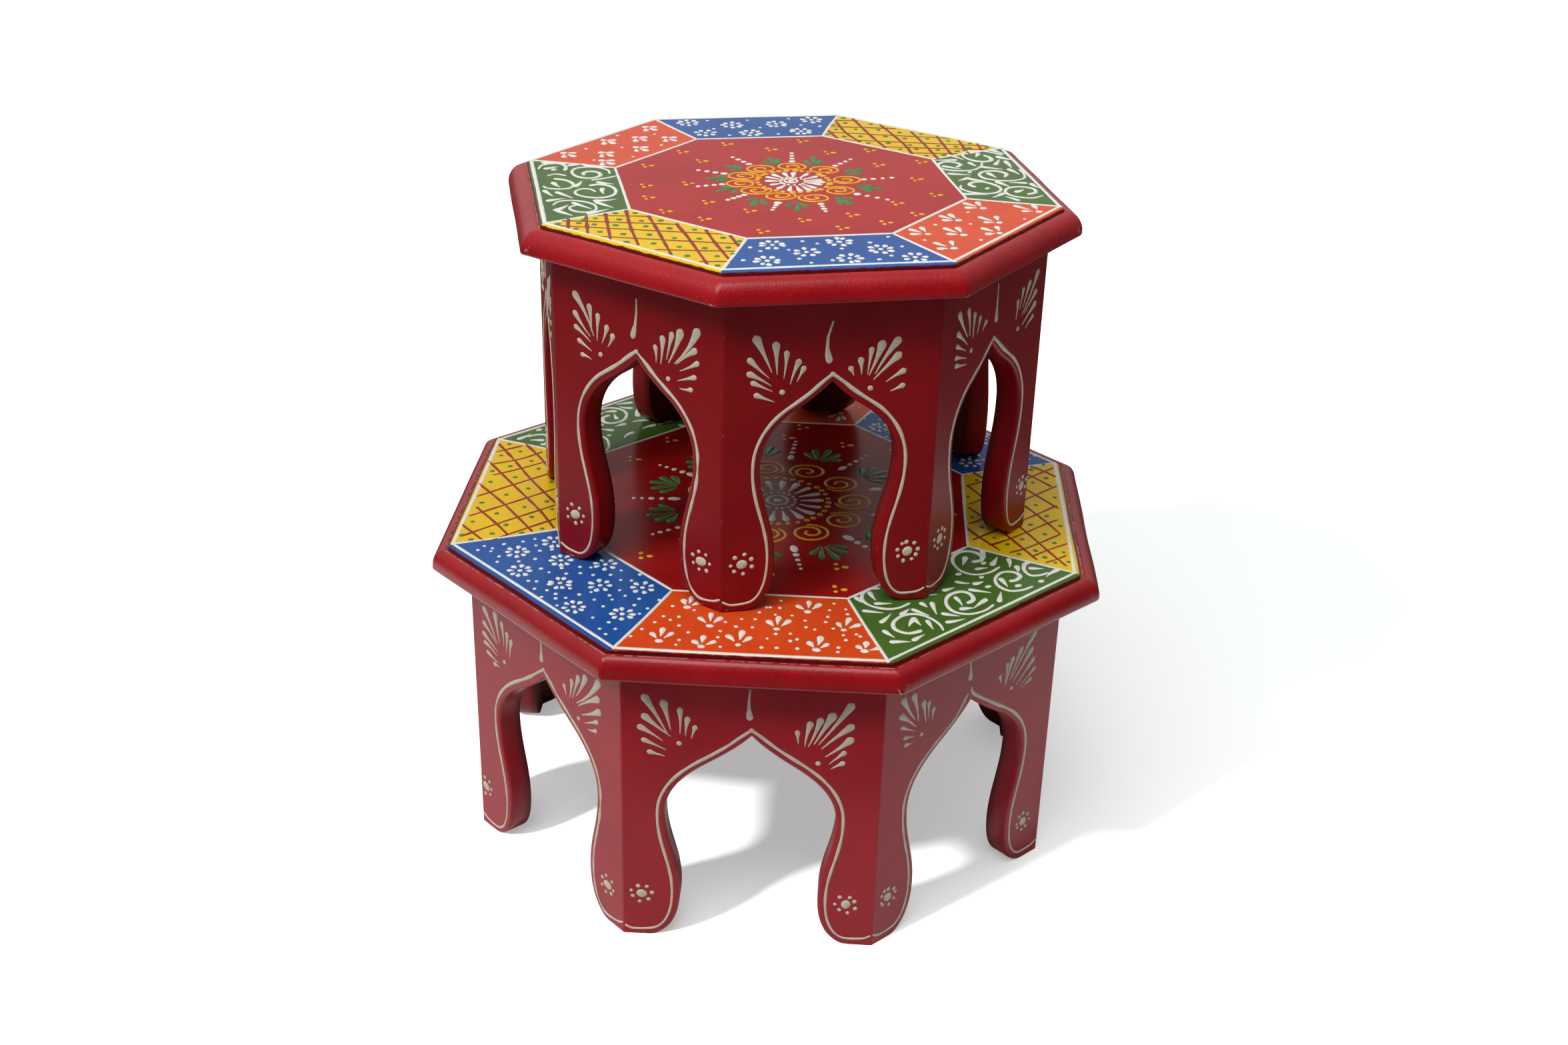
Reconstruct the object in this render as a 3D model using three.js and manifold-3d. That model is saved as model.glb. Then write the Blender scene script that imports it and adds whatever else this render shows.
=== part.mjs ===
// Two low octagonal wooden stools, the smaller one standing on the larger one.
// Each has a moulded top board on eight mitred side panels, and each panel is sawn to an
// ogee arch, so that two half legs meet at every corner and swell into a rounded foot.
// Lengths are in millimetres and +Z is up. The origin is on the floor under the middle of the
// lower stool, whose first panel faces -Y.
import * as THREE from 'three';
import { mergeVertices } from 'three/addons/utils/BufferGeometryUtils.js';
import Module from 'manifold-3d';

// Sizes of the lower stool
const lowerStool = {
  name: 'lower',
  boardAcross: 305,      // top board, flat to flat over the moulding
  height: 156,           // floor to seat
  boardThickness: 12,
  boardOverhang: 16,     // moulding's edge to the panels' outer faces
  panelThickness: 12,
  apexHeight: 109.5,     // point of the arch above the floor
  shoulderReach: 18,     // from the arch's centre line
  shoulderHeight: 95,
  waistWidth: 18.8,      // narrowest part of a half leg
  waistHeight: 67,
  footWidth: 25.5,       // widest part of a half leg
  footWidthHeight: 24,
  footFlat: 11,          // part of the foot that touches the floor
};

// Sizes of the upper stool, as high as the lower one and narrower
const upperStool = {
  name: 'upper',
  boardAcross: 245,
  height: 156,
  boardThickness: 12,
  boardOverhang: 13,
  panelThickness: 12,
  apexHeight: 105,
  shoulderReach: 15,
  shoulderHeight: 92.5,
  waistWidth: 16,
  waistHeight: 67,
  footWidth: 23.2,
  footWidthHeight: 24,
  footFlat: 10,
};

// How the upper stool stands on the lower one
const upperTurn = 13.1;      // degrees, anticlockwise seen from above
const upperShiftX = 3.5;
const upperShiftY = 5.5;
const paintRelief = 0.6;     // the feet stand on the raised paint of the lower stool's top

// Moulding round both top boards
const plateRise = 2.4;       // step from the moulding up to the painted plate
const plateLean = 0.8;       // the step's side leans out
const mouldingReach = 7.3;   // width of the quarter round
const mouldingDrop = 8.4;    // height of the quarter round
const mouldingSteps = 6;

// Joints
const sides = 8;
const seatGap = 0.3;         // glue line between pieces that touch
const edgeChamfer = 1.2;     // sanded corner of the sawn edges
const overrun = 4;           // how far a cut goes past what it cuts

// Corner blocks and the screws that hold the top board
const blockArm = 24;         // along each panel
const blockDepth = 12;       // beyond the arms' ends, towards the middle
const blockHeight = 22;
const screwLength = 30;
const screwRadius = 2;
const screwHeadRadius = 4;
const screwHeadHeight = 2.8;
const screwTipLength = 5;
const screwSlotWidth = 1.2;
const screwSlotDepth = 1.1;
const screwFacets = 16;

// The arch's curve: how its tangents lean at the apex and the shoulder, and how far the
// handles of each run reach, as shares of that run
const archShares = {
  apexSlope: 1.12,
  shoulderSlope: 0.66,
  apexHandle: 0.22,
  shoulderHandle: 0.45,
  waistHandle: 0.5,
  legHandle: 0.4,
  footHandle: 0.62,
};
const archSteps = 6;

const wasm = await Module();
wasm.setup();

const halfAngle = Math.PI / sides;
const turnBetweenSides = 2 * halfAngle;

// Apothem, from the middle to a flat side, of the panels' outer faces
const panelApothem = (stool) => stool.boardAcross / 2 - stool.boardOverhang;

// Height of the board's underside, where the panels and blocks end one glue line lower
const boardUnderside = (stool) => stool.height - stool.boardThickness;
const panelTop = (stool) => boardUnderside(stool) - seatGap;

// Solids and geometries

function toManifold(geometry) {
  const bare = geometry.clone();
  bare.deleteAttribute('normal');
  bare.deleteAttribute('uv');
  const merged = mergeVertices(bare);
  const mesh = new wasm.Mesh({
    numProp: 3,
    vertProperties: new Float32Array(merged.attributes.position.array),
    triVerts: new Uint32Array(merged.index.array),
  });
  return new wasm.Manifold(mesh);
}

function toGeometry(manifold) {
  const mesh = manifold.getMesh();
  const geometry = new THREE.BufferGeometry();
  geometry.setAttribute('position', new THREE.BufferAttribute(mesh.vertProperties, 3));
  geometry.setIndex(new THREE.BufferAttribute(mesh.triVerts, 1));
  geometry.computeVertexNormals();
  return geometry;
}

// An outline in plan, raised from one height to another
function prism(points, bottom, top) {
  const geometry = new THREE.ExtrudeGeometry(new THREE.Shape(points), {
    depth: top - bottom,
    bevelEnabled: false,
  });
  geometry.translate(0, 0, bottom);
  return geometry;
}

// A profile of (radius, height) points turned round the Z axis
function turned(profile, facets, start = 0) {
  const geometry = new THREE.LatheGeometry(profile, facets, start);
  geometry.rotateX(Math.PI / 2);
  return geometry;
}

// Top board: a profile given by apothems, turned in eight steps so that its corners are mitred
function boardProfile(stool) {
  const edge = stool.boardAcross / 2;
  const bottom = boardUnderside(stool);
  const roundTop = stool.height - plateRise;
  const roundInner = edge - mouldingReach;
  const profile = [new THREE.Vector2(0, bottom), new THREE.Vector2(edge, bottom)];
  for (let i = 0; i <= mouldingSteps; i += 1) {
    const angle = (Math.PI / 2) * (i / mouldingSteps);
    profile.push(new THREE.Vector2(
      roundInner + mouldingReach * Math.cos(angle),
      roundTop - mouldingDrop + mouldingDrop * Math.sin(angle),
    ));
  }
  profile.push(new THREE.Vector2(roundInner - plateLean, stool.height));
  profile.push(new THREE.Vector2(0, stool.height));
  return profile;
}

function boardGeometry(stool) {
  const profile = boardProfile(stool);
  const corners = profile.map((point) => new THREE.Vector2(point.x / Math.cos(halfAngle), point.y));
  let board = toManifold(turned(corners, sides, halfAngle));
  for (let i = 0; i < sides; i += 1) {
    const pilot = turned(screwProfile(seatGap), screwFacets);
    placeScrew(pilot, stool);
    pilot.rotateZ(cornerTurn(i));
    board = board.subtract(toManifold(pilot));
  }
  return toGeometry(board);
}

// Side panel: an arch sawn out of a board whose ends are mitred

// One side of the arch from the apex down to the foot, as four runs that join smoothly
function archRuns(stool) {
  const halfWidth = panelApothem(stool) * Math.tan(halfAngle);
  const apex = new THREE.Vector2(0, stool.apexHeight);
  const shoulder = new THREE.Vector2(stool.shoulderReach, stool.shoulderHeight);
  const waist = new THREE.Vector2(halfWidth - stool.waistWidth, stool.waistHeight);
  const foot = new THREE.Vector2(halfWidth - stool.footWidth, stool.footWidthHeight);
  const toe = new THREE.Vector2(halfWidth - stool.footFlat, 0);
  const apexHandle = archShares.apexHandle * shoulder.x;
  const beforeShoulder = archShares.shoulderHandle * shoulder.x;
  const afterShoulder = archShares.shoulderHandle * (waist.x - shoulder.x);
  const waistHandle = archShares.waistHandle * (shoulder.y - waist.y);
  const legHandle = archShares.legHandle * (waist.y - foot.y);
  const footHandle = archShares.footHandle * foot.y;
  const toeHandle = archShares.footHandle * (toe.x - foot.x);
  return [
    new THREE.CubicBezierCurve(
      apex,
      new THREE.Vector2(apexHandle, apex.y - apexHandle * archShares.apexSlope),
      new THREE.Vector2(shoulder.x - beforeShoulder, shoulder.y + beforeShoulder * archShares.shoulderSlope),
      shoulder,
    ),
    new THREE.CubicBezierCurve(
      shoulder,
      new THREE.Vector2(shoulder.x + afterShoulder, shoulder.y - afterShoulder * archShares.shoulderSlope),
      new THREE.Vector2(waist.x, waist.y + waistHandle),
      waist,
    ),
    new THREE.CubicBezierCurve(
      waist,
      new THREE.Vector2(waist.x, waist.y - legHandle),
      new THREE.Vector2(foot.x, foot.y + legHandle),
      foot,
    ),
    new THREE.CubicBezierCurve(
      foot,
      new THREE.Vector2(foot.x, foot.y - footHandle),
      new THREE.Vector2(toe.x - toeHandle, 0),
      toe,
    ),
  ];
}

function archPoints(stool) {
  const path = new THREE.CurvePath();
  archRuns(stool).forEach((run) => path.add(run));
  return path.getPoints(archSteps);
}

function panelGeometry(stool) {
  const apothem = panelApothem(stool);
  const thickness = stool.panelThickness;
  const halfWidth = apothem * Math.tan(halfAngle);
  const right = archPoints(stool);
  const left = right.slice(1).reverse().map((point) => new THREE.Vector2(-point.x, point.y));
  const outline = new THREE.Shape([
    ...left,
    ...right,
    new THREE.Vector2(halfWidth + overrun, 0),
    new THREE.Vector2(halfWidth + overrun, stool.height),
    new THREE.Vector2(-halfWidth - overrun, stool.height),
    new THREE.Vector2(-halfWidth - overrun, 0),
  ]);
  const sawn = new THREE.ExtrudeGeometry(outline, {
    depth: thickness - 2 * edgeChamfer,
    bevelEnabled: true,
    bevelThickness: edgeChamfer,
    bevelSize: edgeChamfer,
    bevelOffset: -edgeChamfer,
    bevelSegments: 1,
  });
  sawn.translate(0, 0, edgeChamfer);
  sawn.rotateX(Math.PI / 2);
  sawn.translate(0, thickness - apothem, 0);
  // The mitres lie in planes through the stool's axis, half a glue line in
  const lineShare = 1 / Math.cos(halfAngle);
  const halfWidthAt = (distance) => distance * Math.tan(halfAngle) - (seatGap / 2) * lineShare;
  const outer = apothem + overrun;
  const inner = apothem - thickness - overrun;
  const mitred = prism([
    new THREE.Vector2(-halfWidthAt(outer), -outer),
    new THREE.Vector2(halfWidthAt(outer), -outer),
    new THREE.Vector2(halfWidthAt(inner), -inner),
    new THREE.Vector2(-halfWidthAt(inner), -inner),
  ], -overrun, panelTop(stool));
  return toGeometry(toManifold(sawn).intersect(toManifold(mitred)));
}

// Corner block: glued into the mitre under the top board, and bored for one screw

// Corner i lies between panel i and the next one
const cornerTurn = (i) => halfAngle + i * turnBetweenSides;

const innerCorner = (stool) => (panelApothem(stool) - stool.panelThickness - seatGap) / Math.cos(halfAngle);

// How far the screw stands from the block's corner: the middle of the block's depth
const screwInset = (blockArm * Math.sin(halfAngle) + blockDepth) / 2;

function blockGeometry(stool) {
  const corner = -innerCorner(stool);
  const armX = blockArm * Math.cos(halfAngle);
  const armY = corner + blockArm * Math.sin(halfAngle);
  const top = panelTop(stool);
  const block = prism([
    new THREE.Vector2(0, corner),
    new THREE.Vector2(armX, armY),
    new THREE.Vector2(armX, armY + blockDepth),
    new THREE.Vector2(-armX, armY + blockDepth),
    new THREE.Vector2(-armX, armY),
  ], top - blockHeight, top);
  const bore = turned(screwProfile(seatGap), screwFacets);
  placeScrew(bore, stool);
  return toGeometry(toManifold(block).subtract(toManifold(bore)));
}

// Countersunk wood screw, its head down and its tip up; the same profile grown by the
// clearance is the hole that it stands in
function screwProfile(clearance) {
  const shaftRadius = screwRadius + clearance;
  const headRadius = screwHeadRadius + clearance;
  const headBottom = clearance > 0 ? -overrun : 0;
  const profile = [new THREE.Vector2(0, headBottom), new THREE.Vector2(headRadius, headBottom)];
  if (clearance > 0) {
    profile.push(new THREE.Vector2(headRadius, 0));
  }
  profile.push(new THREE.Vector2(shaftRadius, screwHeadHeight));
  profile.push(new THREE.Vector2(shaftRadius, screwLength - screwTipLength));
  profile.push(new THREE.Vector2(0, screwLength + 2 * clearance));
  return profile;
}

function placeScrew(geometry, stool) {
  geometry.translate(0, screwInset - innerCorner(stool), panelTop(stool) - blockHeight);
}

function screwGeometry(stool) {
  const screw = turned(screwProfile(0), screwFacets);
  const slot = new THREE.BoxGeometry(2 * screwHeadRadius + overrun, screwSlotWidth, 2 * screwSlotDepth);
  const cut = toGeometry(toManifold(screw).subtract(toManifold(slot)));
  placeScrew(cut, stool);
  return cut;
}

// Finishes

const crimsonPaint = new THREE.MeshStandardMaterial({ color: 0x96182a, roughness: 0.42, metalness: 0 });
const brightRedPaint = new THREE.MeshStandardMaterial({ color: 0xb01722, roughness: 0.38, metalness: 0 });
const bareWood = new THREE.MeshStandardMaterial({ color: 0xb48a5a, roughness: 0.75, metalness: 0 });
const screwSteel = new THREE.MeshStandardMaterial({ color: 0x9a978c, roughness: 0.4, metalness: 1 });

// Assembly

function namedMesh(name, geometry, material) {
  const mesh = new THREE.Mesh(geometry, material);
  mesh.name = name;
  return mesh;
}

function buildStool(stool) {
  const group = new THREE.Group();
  const name = (piece) => `${stool.name}_${piece}`;
  group.add(namedMesh(name('top_board'), boardGeometry(stool), brightRedPaint));
  const panel = panelGeometry(stool);
  const block = blockGeometry(stool);
  const screw = screwGeometry(stool);
  for (let i = 0; i < sides; i += 1) {
    const side = namedMesh(name(`side_panel_${i + 1}`), panel, crimsonPaint);
    side.rotation.z = i * turnBetweenSides;
    const corner = namedMesh(name(`corner_block_${i + 1}`), block, bareWood);
    corner.rotation.z = cornerTurn(i);
    const fastener = namedMesh(name(`block_screw_${i + 1}`), screw, screwSteel);
    fastener.rotation.z = cornerTurn(i);
    group.add(side, corner, fastener);
  }
  return group;
}

const lower = buildStool(lowerStool);
const upper = buildStool(upperStool);
upper.position.set(upperShiftX, upperShiftY, lowerStool.height + paintRelief);
upper.rotation.z = THREE.MathUtils.degToRad(upperTurn);

const stools = new THREE.Group();
stools.add(lower, upper);

export default stools;
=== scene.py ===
import bpy
import numpy as np
from mathutils import Matrix, Vector


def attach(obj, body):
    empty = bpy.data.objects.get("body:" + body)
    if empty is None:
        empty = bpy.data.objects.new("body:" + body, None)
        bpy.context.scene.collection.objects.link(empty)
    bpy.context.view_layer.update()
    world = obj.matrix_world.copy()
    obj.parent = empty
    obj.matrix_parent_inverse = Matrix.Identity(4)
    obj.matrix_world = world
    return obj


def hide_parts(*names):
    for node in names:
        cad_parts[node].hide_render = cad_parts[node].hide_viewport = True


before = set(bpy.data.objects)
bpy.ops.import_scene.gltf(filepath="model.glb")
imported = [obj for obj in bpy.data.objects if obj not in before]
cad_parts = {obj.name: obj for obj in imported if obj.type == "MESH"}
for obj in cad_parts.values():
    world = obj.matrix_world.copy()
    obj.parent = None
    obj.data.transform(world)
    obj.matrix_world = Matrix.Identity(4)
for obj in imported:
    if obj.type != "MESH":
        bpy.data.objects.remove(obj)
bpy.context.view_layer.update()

# Two painted octagonal stools, the small one standing on the large one.
# Lengths in the settings are millimetres in each stool's own frame: origin on the stool's floor,
# +Z up, panel 1 facing -Y, panels counted anticlockwise from above. Meshes are written in metres.
mm = 0.001
corner = np.radians(22.5)  # half the turn from one side of the octagon to the next

# lineIn, lineOut: how far the cream lines round the middle and round the fields are from the axis,
# the outer one for each side; plateShift, ledge: the painted plate sits a little off the moulding,
# with a flat between them; fields: the paints of sides 1 to 4, and of 5 to 8 again
lowerStool = {
    "name": "lower", "body": "lower_stool",
    "turn": 0.0, "shift": (0.0, 0.0), "lift": 0.0,
    "panelOut": 136.5, "edge": 152.5,
    "apexHeight": 109.5, "shoulderReach": 18.0, "shoulderHeight": 95.0,
    "waistWidth": 18.8, "waistHeight": 67.0,
    "footWidth": 25.5, "footWidthHeight": 24.0, "footFlat": 11.0,
    "lineIn": 93.4, "lineOut": (144.5, 142.0, 140.8, 139.8, 139.7, 141.0, 142.9, 143.2),
    "plateShift": (-0.8, -2.4), "ledge": 1.6,
    "fields": ("orange", "green", "yellow", "blue"),
}
upperStool = {
    "name": "upper", "body": "upper_stool",
    "turn": 13.1, "shift": (3.5, 5.5), "lift": 156.6,
    "panelOut": 109.5, "edge": 122.5,
    "apexHeight": 105.0, "shoulderReach": 15.0, "shoulderHeight": 92.5,
    "waistWidth": 16.0, "waistHeight": 67.0,
    "footWidth": 23.2, "footWidthHeight": 24.0, "footFlat": 10.0,
    "lineIn": 74.6, "lineOut": (111.2, 112.1, 112.6, 112.0, 112.0, 112.0, 111.7, 111.6),
    "plateShift": (0.2, -0.8), "ledge": 0.5,
    "fields": ("blue", "orange", "green", "yellow"),
}
stools = (lowerStool, upperStool)


# the way that a side of the octagon faces, as an angle from +X: side 0 to -Y, each next one 45 degrees on
def facing(side):
    return np.radians(-90 + 45 * side)


# one output socket of a shader graph: arithmetic on it adds Math nodes to its tree
class Wire:
    def __init__(self, tree, socket):
        self.tree = tree
        self.socket = socket

    def math(self, operation, *values):
        return addNode(self.tree, "ShaderNodeMath", {"operation": operation}, dict(enumerate(values)))

    def __add__(self, other):
        return self.math("ADD", self, other)

    def __radd__(self, other):
        return self.math("ADD", other, self)

    def __sub__(self, other):
        return self.math("SUBTRACT", self, other)

    def __rsub__(self, other):
        return self.math("SUBTRACT", other, self)

    def __mul__(self, other):
        return self.math("MULTIPLY", self, other)

    def __rmul__(self, other):
        return self.math("MULTIPLY", other, self)

    def __truediv__(self, other):
        return self.math("DIVIDE", self, other)

    def __rtruediv__(self, other):
        return self.math("DIVIDE", other, self)

    def __pow__(self, other):
        return self.math("POWER", self, other)

    def __rpow__(self, other):
        return self.math("POWER", other, self)

    def __gt__(self, other):
        return self.math("GREATER_THAN", self, other)

    def __lt__(self, other):
        return self.math("LESS_THAN", self, other)

    def __abs__(self):
        return self.math("ABSOLUTE", self)

    def most(self, other):
        return self.math("MAXIMUM", self, other)

    def fraction(self):
        return self.math("FRACT", self)

    def ramp(self, low, high):  # 0 at low, 1 at high, smooth between
        settings = {"interpolation_type": "SMOOTHSTEP"}
        sockets = {"Value": self, "From Min": low, "From Max": high}
        return addNode(self.tree, "ShaderNodeMapRange", settings, sockets)


# any node: its settings first, then the values or wires of its sockets
def addNode(tree, kind, settings, sockets, output=0):
    node = tree.nodes.new(kind)
    for key, value in settings.items():
        setattr(node, key, value)
    for key, value in sockets.items():
        connect(tree, value, node.inputs[key])
    return Wire(tree, node.outputs[output])


# a wire is linked to the socket, anything else is written on it
def connect(tree, value, socket):
    if isinstance(value, Wire):
        tree.links.new(value.socket, socket)
    else:
        socket.default_value = value


# 0-255 sRGB to the linear colour that a socket takes: v / 12.92 where dark, elsewhere
# ((v + 0.055) / 1.055) to the power 2.4
def rgb(red, green, blue):
    value = np.array([red, green, blue]) / 255
    linear = np.where(value <= 0.04045, value / 12.92, ((value + 0.055) / 1.055) ** 2.4)
    return (*linear.tolist(), 1.0)


# the three parts of a vector
def apart(tree, vector):
    return [addNode(tree, "ShaderNodeSeparateXYZ", {}, {0: vector}, i) for i in range(3)]


# one material: its tree, its coordinates in a stool's millimetres, and the usual textures
class Finish:
    def __init__(self, name, stool=None):
        self.material = bpy.data.materials.new(name)
        self.material.use_nodes = True
        self.tree = self.material.node_tree
        self.shader = self.tree.nodes["Principled BSDF"]
        place = self.node("ShaderNodeTexCoord", {}, {}, "Object")
        settings = {"vector_type": "TEXTURE"}
        sockets = {"Vector": place, "Scale": (mm, mm, mm)}
        if stool:
            x, y = stool["shift"]
            sockets["Location"] = (x * mm, y * mm, stool["lift"] * mm)
            sockets["Rotation"] = (0, 0, float(np.radians(stool["turn"])))
        self.place = self.node("ShaderNodeMapping", settings, sockets)
        self.x, self.y, self.z = apart(self.tree, self.place)

    def node(self, kind, settings, sockets, output=0):
        return addNode(self.tree, kind, settings, sockets, output)

    def stretch(self, scale, turn=(0, 0, 0)):  # the place, with a pattern's own scale per axis
        sockets = {"Vector": self.place, "Scale": scale, "Rotation": turn}
        return self.node("ShaderNodeMapping", {"vector_type": "POINT"}, sockets)

    def noise(self, size, detail, rough, vector=None):  # size in mm
        sockets = {"Vector": vector or self.place, "Scale": 1 / size, "Detail": detail, "Roughness": rough}
        return self.node("ShaderNodeTexNoise", {}, sockets, "Fac")

    def attribute(self, name):
        return self.node("ShaderNodeAttribute", {"attribute_name": name}, {}, "Fac")

    def mix(self, factor, first, second):  # the colour sockets of a Mix node are 6 and 7, its result is 2
        sockets = {0: factor, 6: first, 7: second}
        return self.node("ShaderNodeMix", {"data_type": "RGBA"}, sockets, 2)

    def bump(self, height, distance):  # distance in mm
        return self.node("ShaderNodeBump", {}, {"Height": height, "Distance": distance * mm})

    def set(self, **sockets):
        for key, value in sockets.items():
            connect(self.tree, value, self.shader.inputs[key.replace("_", " ")])
        return self.material


# a new object in the scene, with the mesh, lamp or camera that it holds
def addObject(name, data):
    item = bpy.data.objects.new(name, data)
    bpy.context.scene.collection.objects.link(item)
    return item


# the volume inside a mesh is the sum of the signed tetrahedra from the origin to its triangles
def signedVolume(verts, faces):
    triangles = np.concatenate([faces[0][:, [0, 1, 2]], faces[0][:, [0, 2, 3]], faces[1]])
    a, b, c = (verts[triangles[:, i]] for i in range(3))
    return float(np.einsum("ij,ij->i", a, np.cross(b, c)).sum() / 6)


# verts in metres, faces = (quads, triangles, other polygons), turned outwards if inside out;
# edges that bend by more than sharp degrees are hard, and edgeWear gives each vertex its wear
def makePiece(name, verts, faces, stool, material, sharp, edgeWear=None):
    quads, triangles, others = faces
    if signedVolume(verts, faces) < 0:
        quads, triangles = quads[:, ::-1], triangles[:, ::-1]
        others = [polygon[::-1] for polygon in others]
    mesh = bpy.data.meshes.new(name)
    mesh.from_pydata(verts.tolist(), [], quads.tolist() + triangles.tolist() + others)
    mesh.shade_smooth()
    mesh.set_sharp_from_angle(angle=float(np.radians(sharp)))
    if edgeWear is not None:
        wear = mesh.attributes.new("edgeWear", "FLOAT", "POINT")
        wear.data.foreach_set("value", edgeWear.ravel())
    mesh.materials.append(material)
    piece = addObject(name, mesh)
    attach(piece, stool["body"])
    return piece


# millimetres in a stool's frame to metres in the scene: turned about Z, then moved
def toScene(stool, points):
    turn = np.radians(stool["turn"])
    x, y, z = np.moveaxis(points, -1, 0)
    across = x * np.cos(turn) - y * np.sin(turn) + stool["shift"][0]
    deep = x * np.sin(turn) + y * np.cos(turn) + stool["shift"][1]
    return np.stack([across, deep, z + stool["lift"]], -1) * mm


# faces of a grid of rings, each row closed on itself: corner j of row i with corner j + 1, and both
# with the same corners of row i + 1
def ringFaces(rows, columns):
    i = (np.arange(rows - 1) * columns)[:, None]
    j = np.arange(columns)[None, :]
    k = (j + 1) % columns
    return np.stack([i + j, i + k, i + columns + k, i + columns + j], -1).reshape(-1, 4)


# smooth gentle waves round a loop: the sum of sines of 1, 2, 3 ... times the angle, with seeded
# weights and phases, over the root of how many there are
def waves(angle, seed, size, slowest, fastest):
    rng = np.random.default_rng(seed)
    turns = np.arange(slowest, fastest)
    phase = rng.uniform(0, 2 * np.pi, len(turns))
    weight = rng.normal(0, 1, len(turns)) / np.sqrt(len(turns))
    return size * (np.sin(angle[..., None] * turns + phase) * weight).sum(-1)


# side panels
panelShape = {
    "thickness": 12.0, "top": 143.7,
    "cornerRound": 1.9,                                # radius at the outer mitre corners
    "sawnRound": 1.5, "backRound": 0.8,                # arrises of the sawn arch
    "toeRound": 0.15, "toeBack": 0.12, "toeSteps": 9,  # and how they begin at the toes
    "edgeSteps": 5, "faceSteps": 9, "archSteps": (14, 22, 26, 22),
    "edgeBand": 1.2, "bandMost": 0.4,                  # fine rows beside a mitre: least width, most share
    "wallDepths": (4.0, 7.5), "backShares": (0.3, 0.65, 1.0),
    "arrisWear": 0.6, "backWear": 0.5,
    "handles": {"apexSlope": 1.12, "shoulderSlope": 0.66, "apex": 0.22, "shoulder": 0.45,
                "waist": 0.5, "leg": 0.4, "foot": 0.62},
}


# half a panel's width at a depth in the wood: the distance from the axis times tan 22.5
def halfWidth(stool, depth=0.0):
    return (stool["panelOut"] - depth) * np.tan(corner)


# cubic Bezier curve: p0(1-t)^3 + 3 p1 t(1-t)^2 + 3 p2 t^2(1-t) + p3 t^3
def bezier(p0, p1, p2, p3, steps):
    t = np.linspace(0, 1, steps, endpoint=False)[:, None]
    p0, p1, p2, p3 = (np.array(p, float) for p in (p0, p1, p2, p3))
    return p0 * (1 - t) ** 3 + 3 * p1 * t * (1 - t) ** 2 + 3 * p2 * t ** 2 * (1 - t) + p3 * t ** 3


# the sawn arch, left toe over the apex to the right toe: four Bezier curves a side, apex to shoulder
# to waist to foot to toe, and the left side is the right one mirrored
def archOutline(stool):
    h = panelShape["handles"]
    half = halfWidth(stool)
    apexY = stool["apexHeight"]
    sx, sy = stool["shoulderReach"], stool["shoulderHeight"]
    wx, wy = half - stool["waistWidth"], stool["waistHeight"]
    fx, fy = half - stool["footWidth"], stool["footWidthHeight"]
    tx = half - stool["footFlat"]
    a, b, c = h["apex"] * sx, h["shoulder"] * sx, h["shoulder"] * (wx - sx)
    steps = panelShape["archSteps"]
    side = np.concatenate([
        bezier((0, apexY), (a, apexY - h["apexSlope"] * a),
               (sx - b, sy + b * h["shoulderSlope"]), (sx, sy), steps[0]),
        bezier((sx, sy), (sx + c, sy - h["shoulderSlope"] * c),
               (wx, wy + h["waist"] * (sy - wy)), (wx, wy), steps[1]),
        bezier((wx, wy), (wx, wy - h["leg"] * (wy - fy)),
               (fx, fy + h["leg"] * (wy - fy)), (fx, fy), steps[2]),
        bezier((fx, fy), (fx, fy - h["foot"] * fy),
               (tx - h["foot"] * (tx - fx), 0), (tx, 0), steps[3]),
        [(tx, 0)],
    ])
    return np.concatenate([side[::-1] * (-1, 1), side[1:]])


# direction from the sawn outline into the wood: the run's direction turned left by 90 degrees. At the
# apex it points up, as long as the mitre of both sides
def intoWood(outline):
    along = np.gradient(outline, axis=0)
    along /= np.linalg.norm(along, axis=1, keepdims=True)
    into = np.stack([-along[:, 1], along[:, 0]], -1)
    middle = len(outline) // 2
    lean = abs(into[middle - 1, 1])
    into[middle] = (0, 1 / lean)
    return into


# half the width of a panel's flat face, which ends where the corner's round begins
def flatHalf(stool):
    return halfWidth(stool) - panelShape["cornerRound"] * np.tan(corner)


# the panel's outer surface: flat, then a quarter round's first 22.5 degrees to the mitre.
# run is the distance along the surface from the panel's middle; lift stands off along the normal
def onPanel(stool, number, run, height, lift):
    radius = panelShape["cornerRound"]
    flat = flatHalf(stool)
    past = np.maximum(np.abs(run) - flat, 0) / radius
    out = radius + lift
    x = np.sign(run) * (np.minimum(np.abs(run), flat) + out * np.sin(past))
    depth = radius - out * np.cos(past)
    return fromPanel(stool, number, x, depth, height)


# panel coordinates (across, into the wood, up) to the stool's frame: out along the way that the
# panel faces, and across at a right angle to it
def fromPanel(stool, number, x, depth, height):
    angle = facing(number - 1)
    out = stool["panelOut"] - depth
    return np.stack([out * np.cos(angle) - x * np.sin(angle),
                     out * np.sin(angle) + x * np.cos(angle), height + 0 * x], -1)


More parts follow.
